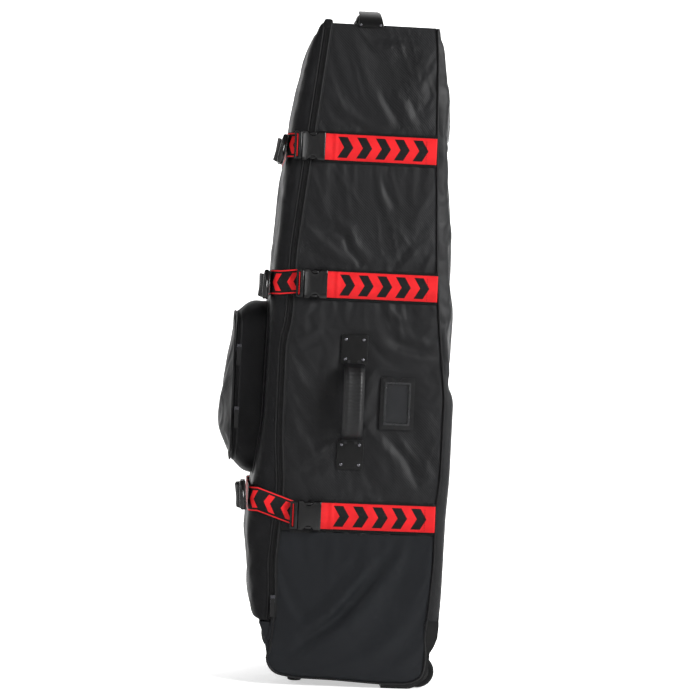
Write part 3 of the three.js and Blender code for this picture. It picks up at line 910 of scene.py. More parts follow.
def back_cover():
    """The back: soft above the stiffener, with the fold where it ends and a seam higher up."""
    rows = []
    pinned = []
    count = 52
    for z in rows_between(GUARD_TOP - 8, TOP - 2, 6.5):
        seam = -2.2 * math.exp(-(((z - 1050) / 4) ** 2))
        row = []
        for i, (x, y) in enumerate(back_section(z, count)):
            soft = noise.noise(Vector((y * 0.02, z * 0.011, 4.2))) * 4 if z > 600 else 0
            soft += noise.noise(Vector((y * 0.05, z * 0.03, 1.2))) * 1.6 if z > 600 else 0
            edge = min(i, count - 1 - i) / 6
            row.append((x + (seam + soft) * min(1, edge), y, z))
            pinned.append(i in (0, count - 1) or z < 560 or z > TOP - 9 or abs(z - 1050) < 4)
        rows.append(row)
    cover = sheet_mesh("back_cover", rows, (900, 0, 700))
    slacken(cover, pinned, 0.02, 0.3, 7)
    thicken(cover)
    dress(cover, CLOTH, "shell", ["back_panel"])


def top_cover():
    """The top panel, slightly crowned, with its edges rolled down and a faint wave."""
    rows = []
    columns = 34
    for y in rows_between(-HALF + 0.5, HALF - 0.5, 7):
        row = []
        for i in range(columns + 1):
            u = i / columns
            x = -45 + (pipe_x(TOP) + 2 + 45) * u
            across = abs(y) / HALF
            drop = 2.6 * u ** 6 + 2.5 * across ** 8 + 2.0 * (1 - u) ** 8
            wave = noise.noise(Vector((x * 0.02, y * 0.02, 9.1))) * 1.2 * (1 - across ** 4)
            row.append((x, y, TOP - 0.6 - drop + min(wave, 0.5)))
        rows.append(row)
    cover = sheet_mesh("top_cover", rows, (40, 0, 3000))
    thicken(cover)
    dress(cover, CLOTH, "shell", ["top_panel"])


def base_cover():
    """The base panel with its front sill, rounded where it turns up."""
    profile = resample(rounded_path([(137, 20), (60, 20), (-60, 20), (-95, 22), (-108, 36), (-114, 60), (-120, 92), (-131, 119)]),
                       40)
    rows = []
    for y in rows_between(-HALF + 3, HALF - 3, 12):
        rows.append([(x, y, z) for x, z in profile])
    cover = sheet_mesh("base_cover", rows, (-900, 0, -900))
    thicken(cover, 3)
    dress(cover, SLATE, "shell", ["base_panel"])
    wedge = [(-104, 50), (-113, 50), (-116, 66), (-121, 92), (-132, 119), (-132, 121), (-104, 121)]
    for side, label in ((-1, "near"), (1, "far")):
        end = prism("sill_end_" + label, wedge, *sorted((side * 144, side * 148.6)), bevel=1.5)
        dress(end, SLATE, "shell")


def side_outline(side):
    """The piping line round one side panel, from the top front corner down, round the base and up the back."""
    front = [(zip_x(z) + 4, side * HALF, z) for z in rows_between(64, TOP, 9)][::-1]
    base = [(x, side * HALF, z) for x, z in (slate_base(i / 60) for i in range(1, 60))]
    back = [(pipe_x(z), side * HALF, z) for z in rows_between(98, TOP - 3, 9)]
    base = [p for p in base if p[2] < (60 if p[0] < 0 else 92)]
    return front, base, back


def pipings():
    """Covered cords along the seams of both side panels."""
    for side, label in ((-1, "near"), (1, "far")):
        front, base, back = side_outline(side)
        if side > 0:
            front = [(HINGE_X + 5, side * HALF, z) for z in rows_between(128, TOP, 12)][::-1]
            base = [(x, y, z) for x, y, z in base]
            hem = [(HINGE_X - 10, HALF, 121), (-100, HALF, 119), (-112, HALF, 110)]
            line = front + hem + base + back
        else:
            line = front + base + back
        path = [(x, y + side * 0.7, z) for x, y, z in resample(line, 420)]
        cord = tube("piping_" + label, path, 2.1)
        dress(cord, PIPING, "shell")
        shifted = [(x + 5 * (0 if x < 100 else -1), y - side * 0.4, z) for x, y, z in back]
        stitch = stitches("piping_stitches_" + label, shifted, 5.0)
        dress(stitch, THREAD, "shell")


def rounded_curve(points, count):
    """A path through points in space, evenly spaced, with its corners rounded."""
    path = np.array(resample(points, 4 * count))
    for _ in range(count):
        path[1:-1] = (path[:-2] + path[1:-1] * 2 + path[2:]) / 4
    return resample(path, count)


def stitches(name, path, pitch, length=3.0, radius=0.32):
    """A row of short thread stitches laid along a path."""
    count = max(2, int(path_length(path) / pitch))
    points = [Vector(p) for p in resample(path, count * 2)]
    share = min(0.95, length / pitch)
    vertices = []
    faces = []
    for i in range(0, len(points) - 2, 2):
        a = points[i]
        b = a.lerp(points[i + 2], share)
        tangent = (b - a).normalized()
        normal = tangent.orthogonal().normalized()
        across = tangent.cross(normal)
        base = len(vertices)
        for centre in (a, b):
            for k in range(4):
                angle = math.pi / 2 * k
                vertices.append(centre + radius * (math.cos(angle) * normal + math.sin(angle) * across))
        for k in range(4):
            m = (k + 1) % 4
            faces.append((base + k, base + m, base + 4 + m, base + 4 + k))
        faces.append((base, base + 1, base + 2, base + 3))
        faces.append((base + 4, base + 5, base + 6, base + 7))
    return finish_mesh(name, vertices, faces)


def path_length(path):
    points = np.array([tuple(p) for p in path], float)
    return float(np.linalg.norm(np.diff(points, axis=0), axis=1).sum())


# ---------------------------------------------------------------- lid
def lid_section(z, edge_x, front_x, count):
    """Section of the lid at one height: near gusset, rounded corner, front, corner and far gusset."""
    far_x = max(HINGE_X, front_x + 8)
    radius = min(26, (edge_x - front_x) * 0.6)
    radius = max(radius, 0.5)
    path = [(edge_x, -HALF + 0.5)]
    for k in range(9):
        angle = math.pi / 2 * k / 8
        path.append((front_x + radius * (1 - math.sin(angle)), -HALF + radius * (1 - math.cos(angle))))
    path.append((front_x - 1.5, 0))
    for k in range(9):
        angle = math.pi / 2 * (1 - k / 8)
        path.append((front_x + radius * (1 - math.sin(angle)), HALF - radius * (1 - math.cos(angle))))
    path.append((max(far_x, front_x + radius), HALF - 0.5))
    return resample(path, count)


def lid_cover():
    """The lid as one sheet from the near zip round the front to the hinge seam, closed above and below."""
    count = 74
    levels = [(LID_BOTTOM - 1, 1.0), (LID_BOTTOM - 1, 0.6), (LID_BOTTOM, 0.25), (LID_BOTTOM + 4, 0.06)]
    levels += [(z, 0.0) for z in rows_between(LID_BOTTOM + 10, TOP - 8, 6.5)]
    levels += [(TOP - 4, 0.25), (TOP - 1.5, 0.6), (TOP - 0.8, 1.0)]
    rows = []
    pinned = []
    for z, closing in levels:
        edge = zip_x(z) - 4
        front = lid_x(z)
        front = front + (edge - 4 - front) * closing
        row = []
        for i, (x, y) in enumerate(lid_section(z, edge, front, count)):
            strap = min(abs(z - 1030), abs(z - 768), abs(z - 354))
            slack = min(1.0, max(0.0, (strap - 24) / 40)) * (1 - closing)
            wave = noise.noise(Vector((y * 0.018, z * 0.012, 2.5))) * 4 + noise.noise(Vector((y * 0.05, z * 0.02, 8))) * 2
            side = min(i, count - 1 - i) / 8
            push = slack * wave * min(1, side)
            corner = min(1.0, max(0.0, (abs(y) - HALF + 26) / 12)) * min(1, side) * slack
            flute = noise.noise(Vector((x * 0.05, z * 0.028, 5.5))) * 7 + noise.noise(Vector((x * 0.1, z * 0.06, 1))) * 4
            flute = max(-2.0, flute) * corner
            y += math.copysign(flute, y)
            on_front = abs(y) < HALF - 20
            under_pocket = abs(y) < POCKET_HALF + 8 and 390 < z < 742
            if under_pocket:
                push = 0
            row.append((x + (push if on_front else -0.5 * flute), y, z))
            held = i in (0, count - 1) or closing > 0.2 or strap < 25 or under_pocket
            pinned.append(held)
        rows.append(row)
    cover = sheet_mesh("lid_cover", rows, (-900, -400, 700))
    slacken(cover, pinned, 0.006, 0.2, 5)
    thicken(cover)
    dress(cover, SHADE_PAINTED_CLOTH, "lid",
          ["lid_front", "lid_gusset_near", "lid_gusset_far", "lid_gusset_bottom"])


def zip_strip(name, path, half_width, lift, body):
    """One half of a zip tape that lies along a path on the side face."""
    points = [(x, y - lift, z) for x, y, z in path]
    acrosses = []
    for i in range(len(points)):
        a = Vector(points[max(i - 1, 0)])
        b = Vector(points[min(i + 1, len(points) - 1)])
        acrosses.append((b - a).normalized().cross(Vector((0, 1, 0))).normalized() * half_width)
    strip = ribbon(name, points, acrosses, 1.2)
    dress(strip, TAPE, body)


def main_zip():
    """Zip tapes, coil and cover cords along the near front edge and over the top."""
    def path(shift, y=-HALF - 0.2):
        upright = [(zip_x(z) + shift, y, z) for z in rows_between(LID_BOTTOM + 2, TOP - 2, 8)]
        top = [(zip_x(TOP) + shift, v, TOP + 0.4) for v in rows_between(-HALF + 3, HALF - 14, 12)]
        return upright, top

    upright, _ = path(4.2)
    zip_strip("zip_tape_shell", upright, 4.8, 0.3, "shell")
    upright, _ = path(-4.2)
    zip_strip("zip_tape_lid", upright, 3.4, 0.3, "lid")
    _, top = path(0.8)
    strip = ribbon("zip_tape_top", [(x + 2, y, z) for x, y, z in top], (3.4, 0, 0), 1.0)
    dress(strip, TAPE, "shell")
    for shift, body, label in ((0.35, "shell", "shell"), (-1.45, "lid", "lid")):
        line, _ = path(shift, -HALF - 1.0)
        coil = tube("zip_coil_" + label, resample(line, 300), 0.85, 6)
        dress(coil, TAPE, body)
    line, _ = path(-9.5, -HALF + 0.5)
    dress(tube("piping_lid_near", line, 1.9), PIPING, "lid")
    fin = prism("zip_end_tab", rounded(box_outline(-57, -40, TOP - 14, TOP + 5), 6), -HALF - 2, -HALF + 16, bevel=1.5)
    dress(fin, TAPE, "shell")
    rows = []
    for z in rows_between(LID_BOTTOM + 2, TOP - 6, 9):
        left = max(HINGE_X - 14, lid_x(z) + 5)
        rows.append([(x, HALF + 1.2, z) for x in rows_between(left, HINGE_X + 14, 3.5)][:9])
    width = min(len(row) for row in rows)
    tape = sheet_mesh("hinge_tape", [resample(row, width) for row in rows], (HINGE_X, 900, 700))
    add_modifier(tape, "SOLIDIFY", thickness=1.2 * MM, offset=-1)
    tape.data.materials.append(TAPE)
    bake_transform(tape)


# ---------------------------------------------------------------- pocket
def pocket_outline(top, bottom, half, count):
    """A rounded upright rectangle of (y, z) points, closed."""
    radius = 52
    corners = rounded([(-half, bottom), (half, bottom), (half, top), (-half, top)], radius, 10)
    loop = corners + [corners[0]]
    return resample(loop, count + 1)[:-1]


def pocket_walls():
    count = 120
    stations = [(None, 733, 399), (-150, 733, 399), (-160, 733, 399), (-171, 731, 401), (-181, 725, 408),
                (-190, 717, 417), (POCKET_RIM + 2, 712, 422)]
    rows = []
    for x, top, bottom in stations:
        row = []
        for y, z in pocket_outline(top, bottom, POCKET_HALF - (0 if x else 0), count):
            at = lid_x(z) - 0.5 if x is None else min(x, lid_x(z) - 0.6 - (stations.index((x, top, bottom)) * 1.5))
            wrinkle = noise.noise(Vector((y * 0.03, z * 0.03, at * 0.04))) * 2.2 if x and x > -190 else 0
            centre = Vector((y, z - 566))
            push = centre.normalized() * wrinkle
            row.append((at, y + push.x, z + push.y))
        rows.append(row)
    walls = sheet_mesh("pocket_walls", rows, (-160, 0, 5000), closed=True)
    outward = sum((p.center - place(-160, 0, 566)).dot(p.normal) for p in walls.data.polygons)
    if outward < 0:
        walls.data.flip_normals()
    thicken(walls, 2)
    dress(walls, SHADE_PAINTED_CLOTH, "lid",
          ["pocket_wall_near", "pocket_wall_far", "pocket_wall_top", "pocket_wall_bottom"])


pocket_x = soft_line([(415, -197), (445, -211), (475, -220), (575, -222), (640, -214), (718, -197)], 10)


def pocket_door():
    """The crowned outer face of the pocket, from its rim to its middle."""
    count = 120
    rings = 22
    rows = []
    pinned = []
    for r in range(rings + 1):
        t = r / rings
        shrink = 1 - t
        row = []
        for y, z in pocket_outline(711, 423, POCKET_HALF - 0.5, count):
            py = y * shrink
            pz = 566 + (z - 566) * shrink
            edge = 1 - shrink ** 3.2
            depth = (pocket_x(pz) - (POCKET_RIM - 1)) * min(1, edge * 1.15)
            wrinkle = noise.noise(Vector((py * 0.022, pz * 0.022, 3.3))) * 3 * min(1, t * 4)
            row.append((POCKET_RIM - 1 + depth + wrinkle * 0.5, py, pz))
            pinned.append(r <= 1)
        rows.append(row)
    door = sheet_mesh("pocket_front", rows, (-900, 0, 566), closed=True)
    weld = bmesh.new()
    weld.from_mesh(door.data)
    bmesh.ops.remove_doubles(weld, verts=weld.verts, dist=0.00005)
    weld.to_mesh(door.data)
    weld.free()
    slacken(door, pinned[:len(door.data.vertices)], 0.015, 0.15, 5)
    thicken(door, 2)
    dress(door, SHADE_PAINTED_CLOTH, "pocket_door", ["pocket_door"])


def pocket_trim():
    """Zip, piping and root seam of the pocket."""
    rim = [(POCKET_RIM + 1.5, y, z) for y, z in pocket_outline(712, 422, POCKET_HALF + 0.6, 120)]
    dress(tube("pocket_zip_coil", rim, 1.0, 6, True), TAPE, "lid")
    outer = [(POCKET_RIM - 4, y, z) for y, z in pocket_outline(711, 423, POCKET_HALF + 0.4, 120)]
    dress(tube("pocket_piping_front", outer, 1.9, 8, True), PIPING, "pocket_door")
    inner = [(POCKET_RIM + 8, y, z) for y, z in pocket_outline(716, 418, POCKET_HALF + 0.6, 120)]
    dress(tube("pocket_piping_back", inner, 1.7, 8, True), PIPING, "lid")
    root = [(lid_x(z) - 1.2, y, z) for y, z in pocket_outline(734, 398, POCKET_HALF + 1, 120)]
    dress(tube("pocket_root_piping", root, 2.0, 8, True), PIPING, "lid")


# ---------------------------------------------------------------- buckles and straps
def lay_on(piece, origin, along, up, out):
    """Moves a piece modelled with along, up and out as x, z and -y onto those directions at origin."""
    turn = Matrix((along, -Vector(out), up)).transposed().to_4x4()
    base = place(0, 0, 0)
    piece.data.transform(Matrix.Translation(-base))
    piece.data.transform(Matrix.Translation(place(*origin)) @ turn)
    piece.data.update()


def face_plate(name, ends, outer, inner):
    """A smooth plate across a buckle: ends gives its half width, and outer and inner its two faces, along x."""
    stations = rows_between(0, 44, 1.5)
    widths = [np.interp(x, *zip(*ends)) for x in stations]
    outers = [np.interp(x, *zip(*outer)) for x in stations]
    inners = [np.interp(x, *zip(*inner)) for x in stations]
    sections = []
    for width, top, bottom in zip(widths, outers, inners):
        section = []
        for k in range(32):
            angle = 2 * math.pi * k / 32
            across = math.copysign(abs(math.cos(angle)) ** 0.35, math.cos(angle)) * width
            lift = math.copysign(abs(math.sin(angle)) ** 0.5, math.sin(angle)) * (top - bottom) / 2
            section.append((across, (top + bottom) / 2 + lift))
        sections.append(section)
    centres = [(x, 0, 0) for x in stations]
    return sweep(name, centres, [((0, 0, 1), (0, -1, 0))] * len(stations), sections)


WAIST = [(0, 26.5), (2, 28), (9, 27.8), (12, 25), (15, 21), (19, 19.2), (24, 19.6), (28, 23), (31, 27.6), (44, 28)]


def female_buckle(name):
    """The socket half, mouth at x 0 and webbing bar at x 44, with waisted side windows and a curved face."""
    outer = [(0, 7.0), (4, 8.6), (8, 10.0), (12, 11.3), (15, 12.0), (18, 12.4), (24, 12.2), (30, 12.0), (33, 13.0),
             (42, 13.0), (44, 12.2)]
    inner = [(0, 6.0), (12, 7.6), (28, 8.0), (31, 2.8), (44, 2.8)]
    base = [(0, 2.6), (29, 2.6), (31, 2.9), (44, 2.9)]
    floor = [(0, 0.2), (44, 0.2)]
    pieces = [
        face_plate(name + "_face", WAIST, outer, inner),
        face_plate(name + "_floor", WAIST, base, floor),
    ]
    for side in (-1, 1):
        wall = [(1, side * 22.5), (1, side * 27), (7, side * 27), (7, side * 22.5)]
        pieces.append(prism(name + f"_wall{side + 1}", wall, -9, -1.5, bevel=0.5))
    return merge(name, pieces)


def male_buckle(name):
    """The clip half: ladder frame in front of the mouth, guide tongue and two sprung prongs inside it."""
    outer = rounded(box_outline(-15, -0.6, -26.5, 26.5), 3, 4)
    slot = box_outline(-11.5, -7.2, -22.5, 22.5)
    pieces = [
        prism(name + "_a", outer, -9.5, -2.0, bevel=1.2, holes=[slot]),
        prism(name + "_b", box_outline(-6.4, -1.0, -25.5, 25.5), -10.8, -1.2, bevel=1.4),
        prism(name + "_c", box_outline(-1, 22, -9, 9), -6.2, -3.8, bevel=0.5),
    ]
    for side in (-1, 1):
        prong = [(-1, 16), (-1, 20.5), (10, 21), (17, 23.5), (25, 24.2), (27, 20), (23, 17.5), (12, 16.5)]
        prong = [(x, side * z) for x, z in prong]
        pieces.append(prism(name + f"_p{side + 1}", rounded(prong, 1.5, 3), -6.6, -3.4, bevel=0.6))
        pad = [(12.5, side * 20), (13.5, side * 24.5), (20, side * 26.2), (26.5, side * 24.5), (27.5, side * 20)]
        pieces.append(prism(name + f"_pad{side + 1}", rounded(pad, 2.5, 4), -10.5, -2.9, bevel=2.2))
    return merge(name, pieces)


def strap_wave(x, z, number):
    return noise.noise(Vector((x * 0.02, z * 0.03, number * 3.7)))


RED = (0.62, 0.0105, 0.014)
FIGURE = (0.0032, 0.0032, 0.0036)


def sewn_strap(number):
    """Black backing webbing with the patterned webbing sewn on it, and its fold at the buckle's bar."""
    z, mouth, _ = STRAPS[number]
    heel = mouth + 44
    end = pipe_x(z) - 1.5
    backing = []
    for x in rows_between(heel - 22, end, 6):
        backing.append((x, -HALF - 1.0 - 0.5 * strap_wave(x, z, number), z - 0.4))
    strip = ribbon(f"strap_{number}_backing", backing, (0, 0, 30), 1.4)
    dress(strip, BACKING, "shell")
    line = []
    for x in rows_between(heel - 3, end, 2.5):
        near = max(0, 1 - (x - heel) / 24)
        fold = 1.6 * math.exp(-(((x - heel - 20) / 3.5) ** 2))
        lift = 3.0 + 4.2 * near ** 1.6 + fold + 0.7 * strap_wave(x, z, number)
        line.append((x, -HALF - lift + 0.6, z))
    web = ribbon(f"strap_{number}_webbing", line, (0, 0, WEB), 1.7)
    run = {"start": heel, "end": end, "low": z, "high": z, "pitch": (end - heel - 34) / 5, "first": heel + 36,
           "count": 5, "turns": False, "border": False, "share": 0.5, "half": 20}
    pattern = webbing(f"pattern_{number}", RED, FIGURE, run)
    dress(web, pattern, "shell", [f"strap_{number}_near"])
    rows = []
    for edge in (-1, 1):
        for inset in (28.2,):
            rows.append([(x, -HALF - 1.9, z + edge * inset) for x, _, _ in backing])
    box_start = end - 20
    cross = [(box_start, -HALF - 3.6, z - 23), (box_start, -HALF - 3.6, z + 23)]
    rows.append(resample(cross, 12))
    threads = [stitches(f"strap_{number}_row_{i}", row, 4.2) for i, row in enumerate(rows)]
    dress(merge(f"strap_{number}_stitches", threads), THREAD, "shell")


def front_path(number):
    """Middle line of the webbing from the ladder round the near corner, across the lid and round the far corner."""
    _, mouth, front_z = STRAPS[number]
    z0 = STRAPS[number][0]
    front = lid_x(front_z) - 2.6
    start = mouth - 9
    bend = front + 16
    run_out = []
    for i in range(8):
        t = i / 7
        run_out.append((start + (bend - start) * t, -HALF - 4.5 + 2.5 * t, z0 + 4 + (front_z - z0 - 4) * t ** 0.9))
    corner = []
    for k in range(1, 7):
        angle = math.pi / 2 * k / 6
        corner.append((bend - 16 * math.sin(angle), -HALF - 2 + 16 * (1 - math.cos(angle)), front_z))
    across = [(front - 0.6 * math.sin(math.pi * i / 24), -HALF + 14 + (2 * HALF - 28) * i / 24, front_z)
              for i in range(1, 24)]
    far = [(front + 16 * (1 - math.cos(math.pi / 2 * k / 6)) + 0.5, HALF + 1.7 - 16 + 16 * math.sin(math.pi / 2 * k / 6),
            front_z) for k in range(0, 7)]
    return resample(run_out + corner + across + far, 110)


def front_strap(number):
    z0, mouth, front_z = STRAPS[number]
    path = front_path(number)
    web = ribbon(f"strap_{number}_front_run", path, (0, 0, WEB - 1), 1.7)
    bend = lid_x(front_z) + 14
    run = {"start": bend, "end": mouth - 9, "low": front_z, "high": z0 + 4, "pitch": 34, "first": -HALF - mouth + 16,
           "count": 12, "turns": True, "border": True, "share": 0.36, "half": 16.5}
    pattern = webbing(f"reverse_{number}", FIGURE, RED, run)
    web.data.materials.append(pattern)
    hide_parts(f"strap_{number}_front")
    place(lid_x(front_z), HALF, front_z)
    place(lid_x(front_z), -HALF, front_z)
    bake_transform(web)
    loop = [(mouth - 9.3, -HALF - 12 + 7.5 * i / 8, z0) for i in range(9)]
    inner = ribbon(f"strap_{number}_ladder_web", loop, (0, 0, 21.5), 1.7)
    dress(inner, LADDER_WEB, f"strap_{number}")


def far_strap(number):
    """Plain webbing sewn along the far side, stepping from its height on the lid to its height on the shell just
    before the hinge.
    """
    z = STRAPS[number][0]
    front_z = STRAPS[number][2]
    end = pipe_x(z) - 1.5
    start = lid_x(front_z) + 14
    path = []
    for x in rows_between(start, end, 5):
        t = max(0, min(1, (HINGE_X - 8 - x) / 50))
        path.append((x, HALF + 1.8, z + (front_z - z) * t))
    web = ribbon(f"strap_{number}_far_run", path, (0, 0, WEB - 1), 1.7)
    web.data.materials.append(BACKING)
    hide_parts(f"strap_{number}_far")
    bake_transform(web)


ADJUSTERS = {1: (9, 5, 0.2), 2: (5, 5.5, 0.05), 3: (-7, 8, -0.08)}


def folded_tail(number, turn):
    """The free end of the webbing, folded back over the front adjuster."""
    path = [(-22, -3, 0), (-30, -6, 0), (-31, -12, 0), (-24, -16.5, 0), (-8, -17.5, 0), (12, -18.5, -1),
            (26, -17.5, -2), (36, -13, -4), (39, -7, -6), (35, -3, -8)]
    smooth = rounded_curve(path, 48)
    leans = [(0.0, 1.5 * math.sin(i * 0.4), 21.5) for i in range(len(smooth))]
    tail = ribbon(f"strap_{number}_tail", smooth, leans, 1.8)
    lay_on(tail, *turn)
    dress(tail, TAIL, f"strap_{number}")


def buckles(number):
    z, mouth, front_z = STRAPS[number]
    female = female_buckle(f"buckle_{number}_socket")
    lay_on(female, (mouth, -HALF - 3.1, z), (1, 0, 0), (0, 0, 1), (0, -1, 0))
    dress(female, BUCKLE, "shell", [f"buckle_{number}_female"])
    male = male_buckle(f"buckle_{number}_clip")
    lay_on(male, (mouth, -HALF - 3.1, z), (1, 0, 0), (0, 0, 1), (0, -1, 0))
    dress(male, BUCKLE, f"strap_{number}", [f"buckle_{number}_male"])
    drop, reach, droop = ADJUSTERS[number]
    up = Vector((math.sin(droop), 0, math.cos(droop)))
    out = Vector((-math.cos(droop), 0, math.sin(droop)))
    adjuster = merge(f"buckle_{number}_adjuster", [female_buckle("front_socket"), male_buckle("front_clip")])
    turn = ((lid_x(front_z) - reach, -108, front_z - drop), (0, -1, 0), up, out)
    lay_on(adjuster, *turn)
    folded_tail(number, turn)
    dress(adjuster, BUCKLE, f"strap_{number}", [f"strap_{number}_adjuster"])


# ---------------------------------------------------------------- handles and window
def rivet_heads(name, centres, radius=3.4, out=(0, -1, 0)):
    vertices = []
    faces = []
    normal = Vector(out)
    side = normal.orthogonal().normalized()
    other = normal.cross(side)
    profile = [(radius, 0.0), (radius, 0.8), (radius * 0.82, 1.6), (radius * 0.45, 2.1)]
    for centre in centres:
        base = len(vertices)
        for r, h in profile:
            for k in range(16):
                angle = 2 * math.pi * k / 16
                vertices.append(Vector(centre) + normal * h + r * (math.cos(angle) * side + math.sin(angle) * other))
        for ring in range(len(profile) - 1):
            for k in range(16):
                m = (k + 1) % 16
                a = base + ring * 16
                faces.append((a + k, a + m, a + 16 + m, a + 16 + k))
        top = base + (len(profile) - 1) * 16
        faces.append(tuple(range(top, top + 16)))
        faces.append(tuple(range(base, base + 16))[::-1])
    return finish_mesh(name, vertices, faces)


def padded_pad(name, outline, low, high, axes="xzy"):
    return prism(name, rounded(outline, 5, 5), low, high, axes, bevel=0.9)


def side_handle():
    x, face = 28, -HALF - 0.3
    for label, low, high in (("upper", 618, 675), ("lower", 417, 474)):
        pad = padded_pad(f"side_pad_{label}", box_outline(x - 25.5, x + 25.5, low, high), face - 3, face)
        dress(pad, LEATHER, "shell", [f"side_handle_pad_{label}"])
        corners = [(x + dx, face - 3, (low + high) / 2 + dz) for dx in (-17, 17) for dz in (-19, 19)]
        dress(rivet_heads(f"side_rivets_{label}", corners), RIVET, "shell")
        frame_line = rounded(box_outline(x - 22.5, x + 22.5, low + 3, high - 3), 4, 4)
        loop = [(px, face - 3.1, pz) for px, pz in frame_line + frame_line[:1]]
        dress(stitches(f"side_pad_stitches_{label}", loop, 3.6, 2.4), THREAD, "shell")
    dress(side_grip(x, face), GRIP, "shell", ["side_handle_grip"])


def grip_section(width, thickness):
    """Section of a padded grip with two ridges, as (across, out) points, closed."""
    points = []
    steps = 28
    for k in range(steps):
        angle = 2 * math.pi * k / steps
        across = math.cos(angle)
        out = math.sin(angle)
        squared = math.copysign(abs(across) ** 0.5, across) * width / 2
        lobe = 1 - 0.5 * math.cos(2 * math.pi * squared / (width * 0.55)) if out > 0 else 0.8
        points.append((squared, math.copysign(abs(out) ** 0.55, out) * thickness / 2 * lobe))
    return points


def sweep(name, centres, directions, sections):
    """Joins closed sections placed at centres; directions gives the (across, out) vectors of each."""
    vertices = []
    faces = []
    count = len(sections[0])
    for centre, (across, out), section in zip(centres, directions, sections):
        for a, b in section:
            vertices.append(Vector(centre) + Vector(across) * a + Vector(out) * b)
    for i in range(len(centres) - 1):
        for k in range(count):
            m = (k + 1) % count
            faces.append((i * count + k, i * count + m, (i + 1) * count + m, (i + 1) * count + k))
    faces.append(tuple(range(count)))
    faces.append(tuple(range((len(centres) - 1) * count, len(centres) * count)))
    return finish_mesh(name, vertices, faces)


def side_grip(x, face):
    """The grab handle: webbing under both pads, arched out and padded along its middle."""
    centres = []
    directions = []
    sections = []
    half_span = 80
    free_half = 72.5
    middle = 546
    for i in range(81):
        along = -half_span + 2 * half_span * i / 80
        t = min(1.0, abs(along) / free_half)
        rise = 31 * (1 - t ** 4) ** 0.7
        filled = min(1, max(0, (0.985 - t) / 0.06))
        thickness = 2.4 + 10.6 * filled * (1 + 0.04 * math.sin(along * 0.9))
        under_pad = abs(along) > free_half
        lift = 1.5 if under_pad else 3.5 + thickness / 3 + rise
        centres.append((x, face - lift, middle + along))
        directions.append(((1, 0, 0), (0, -1, 0)))
        sections.append(grip_section(36 + 4 * filled, thickness))
    return sweep("side_grip", centres, directions, sections)


def top_handle():
    """Grab handle across the top: trapezoid pads that rise from the panel and a padded grip between them."""
    x = 32
    base = TOP + 0.5
    for side, label in ((-1, "near"), (1, "far")):
        bend = [(HALF + 2.6, TOP - 7), (HALF + 2.2, TOP), (HALF - 3, TOP + 9), (HALF - 10, TOP + 17),
                (HALF - 20, TOP + 24), (HALF - 36, TOP + 28.5), (HALF - 62, TOP + 29.5)]
        rows = []
        for i, (y, z) in enumerate(resample(bend, 14)):
            rise = i / 13
            left = x - 22.5 + 2 * rise
            right = x + 26 - 14 * rise
            rows.append([(left + (right - left) * k / 8, side * y, z) for k in range(9)])
        pad = sheet_mesh(f"top_pad_{label}", rows, (x, side * 900, 3000))
        add_modifier(pad, "SOLIDIFY", thickness=2.5 * MM, offset=-1)
        add_modifier(pad, "BEVEL", width=0.8 * MM, segments=2, limit_method="ANGLE")
        dress(pad, LEATHER, "shell", [f"top_handle_pad_{label}"])
        spots = [(x + dx, side * (HALF + 2.5), TOP - 3) for dx in (-19, 19)]
        dress(rivet_heads(f"top_rivets_{label}", spots, 2.6, (0, side, 0)), RIVET, "shell")
    centres = []
    directions = []
    sections = []
    for i in range(41):
        t = -1 + 2 * i / 40
        y = 96 * t
        z = base + 24 - 1.5 * abs(t) ** 3 + 0.8 * math.sin(9 * t)
        width = 33 if abs(t) < 0.82 else 31
        thickness = 4 + 5 * min(1, max(0, (0.86 - abs(t)) / 0.08))
        centres.append((x - 4.5, y, z))
        directions.append(((1, 0, 0), (0, 0, 1)))
        sections.append(grip_section(width, thickness))
    dress(sweep("top_grip", centres, directions, sections), GRIP, "shell", ["top_handle_grip"])


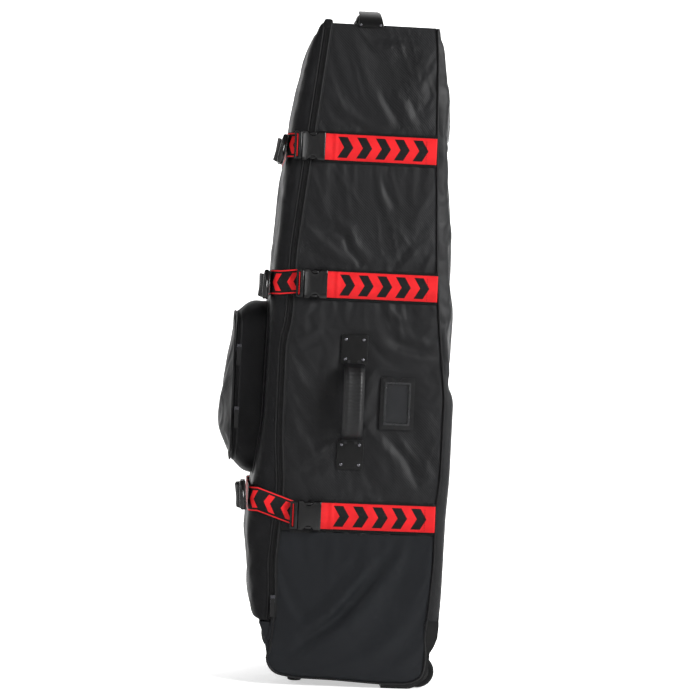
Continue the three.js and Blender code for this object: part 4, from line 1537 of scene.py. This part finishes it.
def identity_window():
    x, z = 114, 546
    face = -HALF - 0.4
    hole = [(x - 21, z - 37), (x + 21, z - 37), (x + 21, z + 37), (x - 21, z + 37)]
    notch = [(x + 9, z + 49.5), (x + 6, z + 45), (x - 6, z + 45), (x - 9, z + 49.5)]
    corners = box_outline(x - 32.5, x + 32.5, z - 49.5, z + 49.5)
    outline = rounded([*corners[:3], *notch, corners[3]], 3, 5)
    border = prism("window_border", outline, face - 3.2, face - 0.9, bevel=0.7, holes=[hole])
    dress(border, FRAME_VINYL, "shell", ["id_frame"])
    # The rim's lighter vinyl is a painted highlight line round the pane.
    rim_outer = rounded(box_outline(x - 25, x + 25, z - 41, z + 41), 3, 4)
    rim_inner = rounded(box_outline(x - 21.5, x + 21.5, z - 37.5, z + 37.5), 2, 4)
    rim = prism("window_rim", rim_outer, face - 4.6, face - 2.4, bevel=0.8, holes=[rim_inner])
    dress(rim, HIGHLIGHT_RIM_VINYL, "shell")
    rows = []
    for i in range(13):
        v = i / 12
        row = []
        for k in range(9):
            u = k / 8
            swell = 0.9 * math.sin(math.pi * u) * math.sin(math.pi * v)
            row.append((x - 27 + 54 * u, face - 0.7 - swell, z - 43 + 86 * v))
        rows.append(row)
    pane = sheet_mesh("window_pane", rows, (x, -900, z))
    add_modifier(pane, "SOLIDIFY", thickness=0.5 * MM, offset=-1)
    dress(pane, VINYL, "shell", ["id_window"])
    loop_outline = rounded(box_outline(x - 29.8, x + 29.8, z - 46.8, z + 46.8), 3, 4)
    loop = [(px, face - 3.3, pz) for px, pz in loop_outline + loop_outline[:1]]
    dress(stitches("window_stitches", loop, 3.6, 2.4), THREAD, "shell")


# ---------------------------------------------------------------- hard parts from the CAD
def finish_cad(names, material, bevel=1.0):
    for name in names:
        node = frame["nodes"][name]
        node.data.materials.clear()
        node.data.materials.append(material)
        for polygon in node.data.polygons:
            polygon.use_smooth = True
        add_modifier(node, "BEVEL", width=bevel * MM, segments=3, limit_method="ANGLE", angle_limit=math.radians(35))


def hard_parts():
    finish_cad(["wheel_tray", "corner_guard_near", "corner_guard_far", "back_board"], TRAY, 1.5)
    finish_cad(["tyre_near", "tyre_far", "foot_near", "foot_far"], RUBBER, 1.2)
    finish_cad(["hub_near", "hub_far"], HUB, 1.0)
    finish_cad(["axle_near", "axle_far"], STEEL, 0.5)
    for name in ("main_zip", "pocket_zip_upper", "pocket_zip_lower"):
        finish_cad([name + "_slider"], STEEL, 0.7)
        finish_cad([name + "_puller"], PULLER, 0.7)


make_camera()
make_studio()
side_panel(-1, "near")
side_panel(1, "far")
slate_panel(-1, "near")
slate_panel(1, "far")
back_cover()
top_cover()
base_cover()
pipings()
lid_cover()
main_zip()
pocket_walls()
pocket_door()
pocket_trim()
for strap in STRAPS:
    sewn_strap(strap)
    front_strap(strap)
    far_strap(strap)
    buckles(strap)
side_handle()
top_handle()
identity_window()
hard_parts()
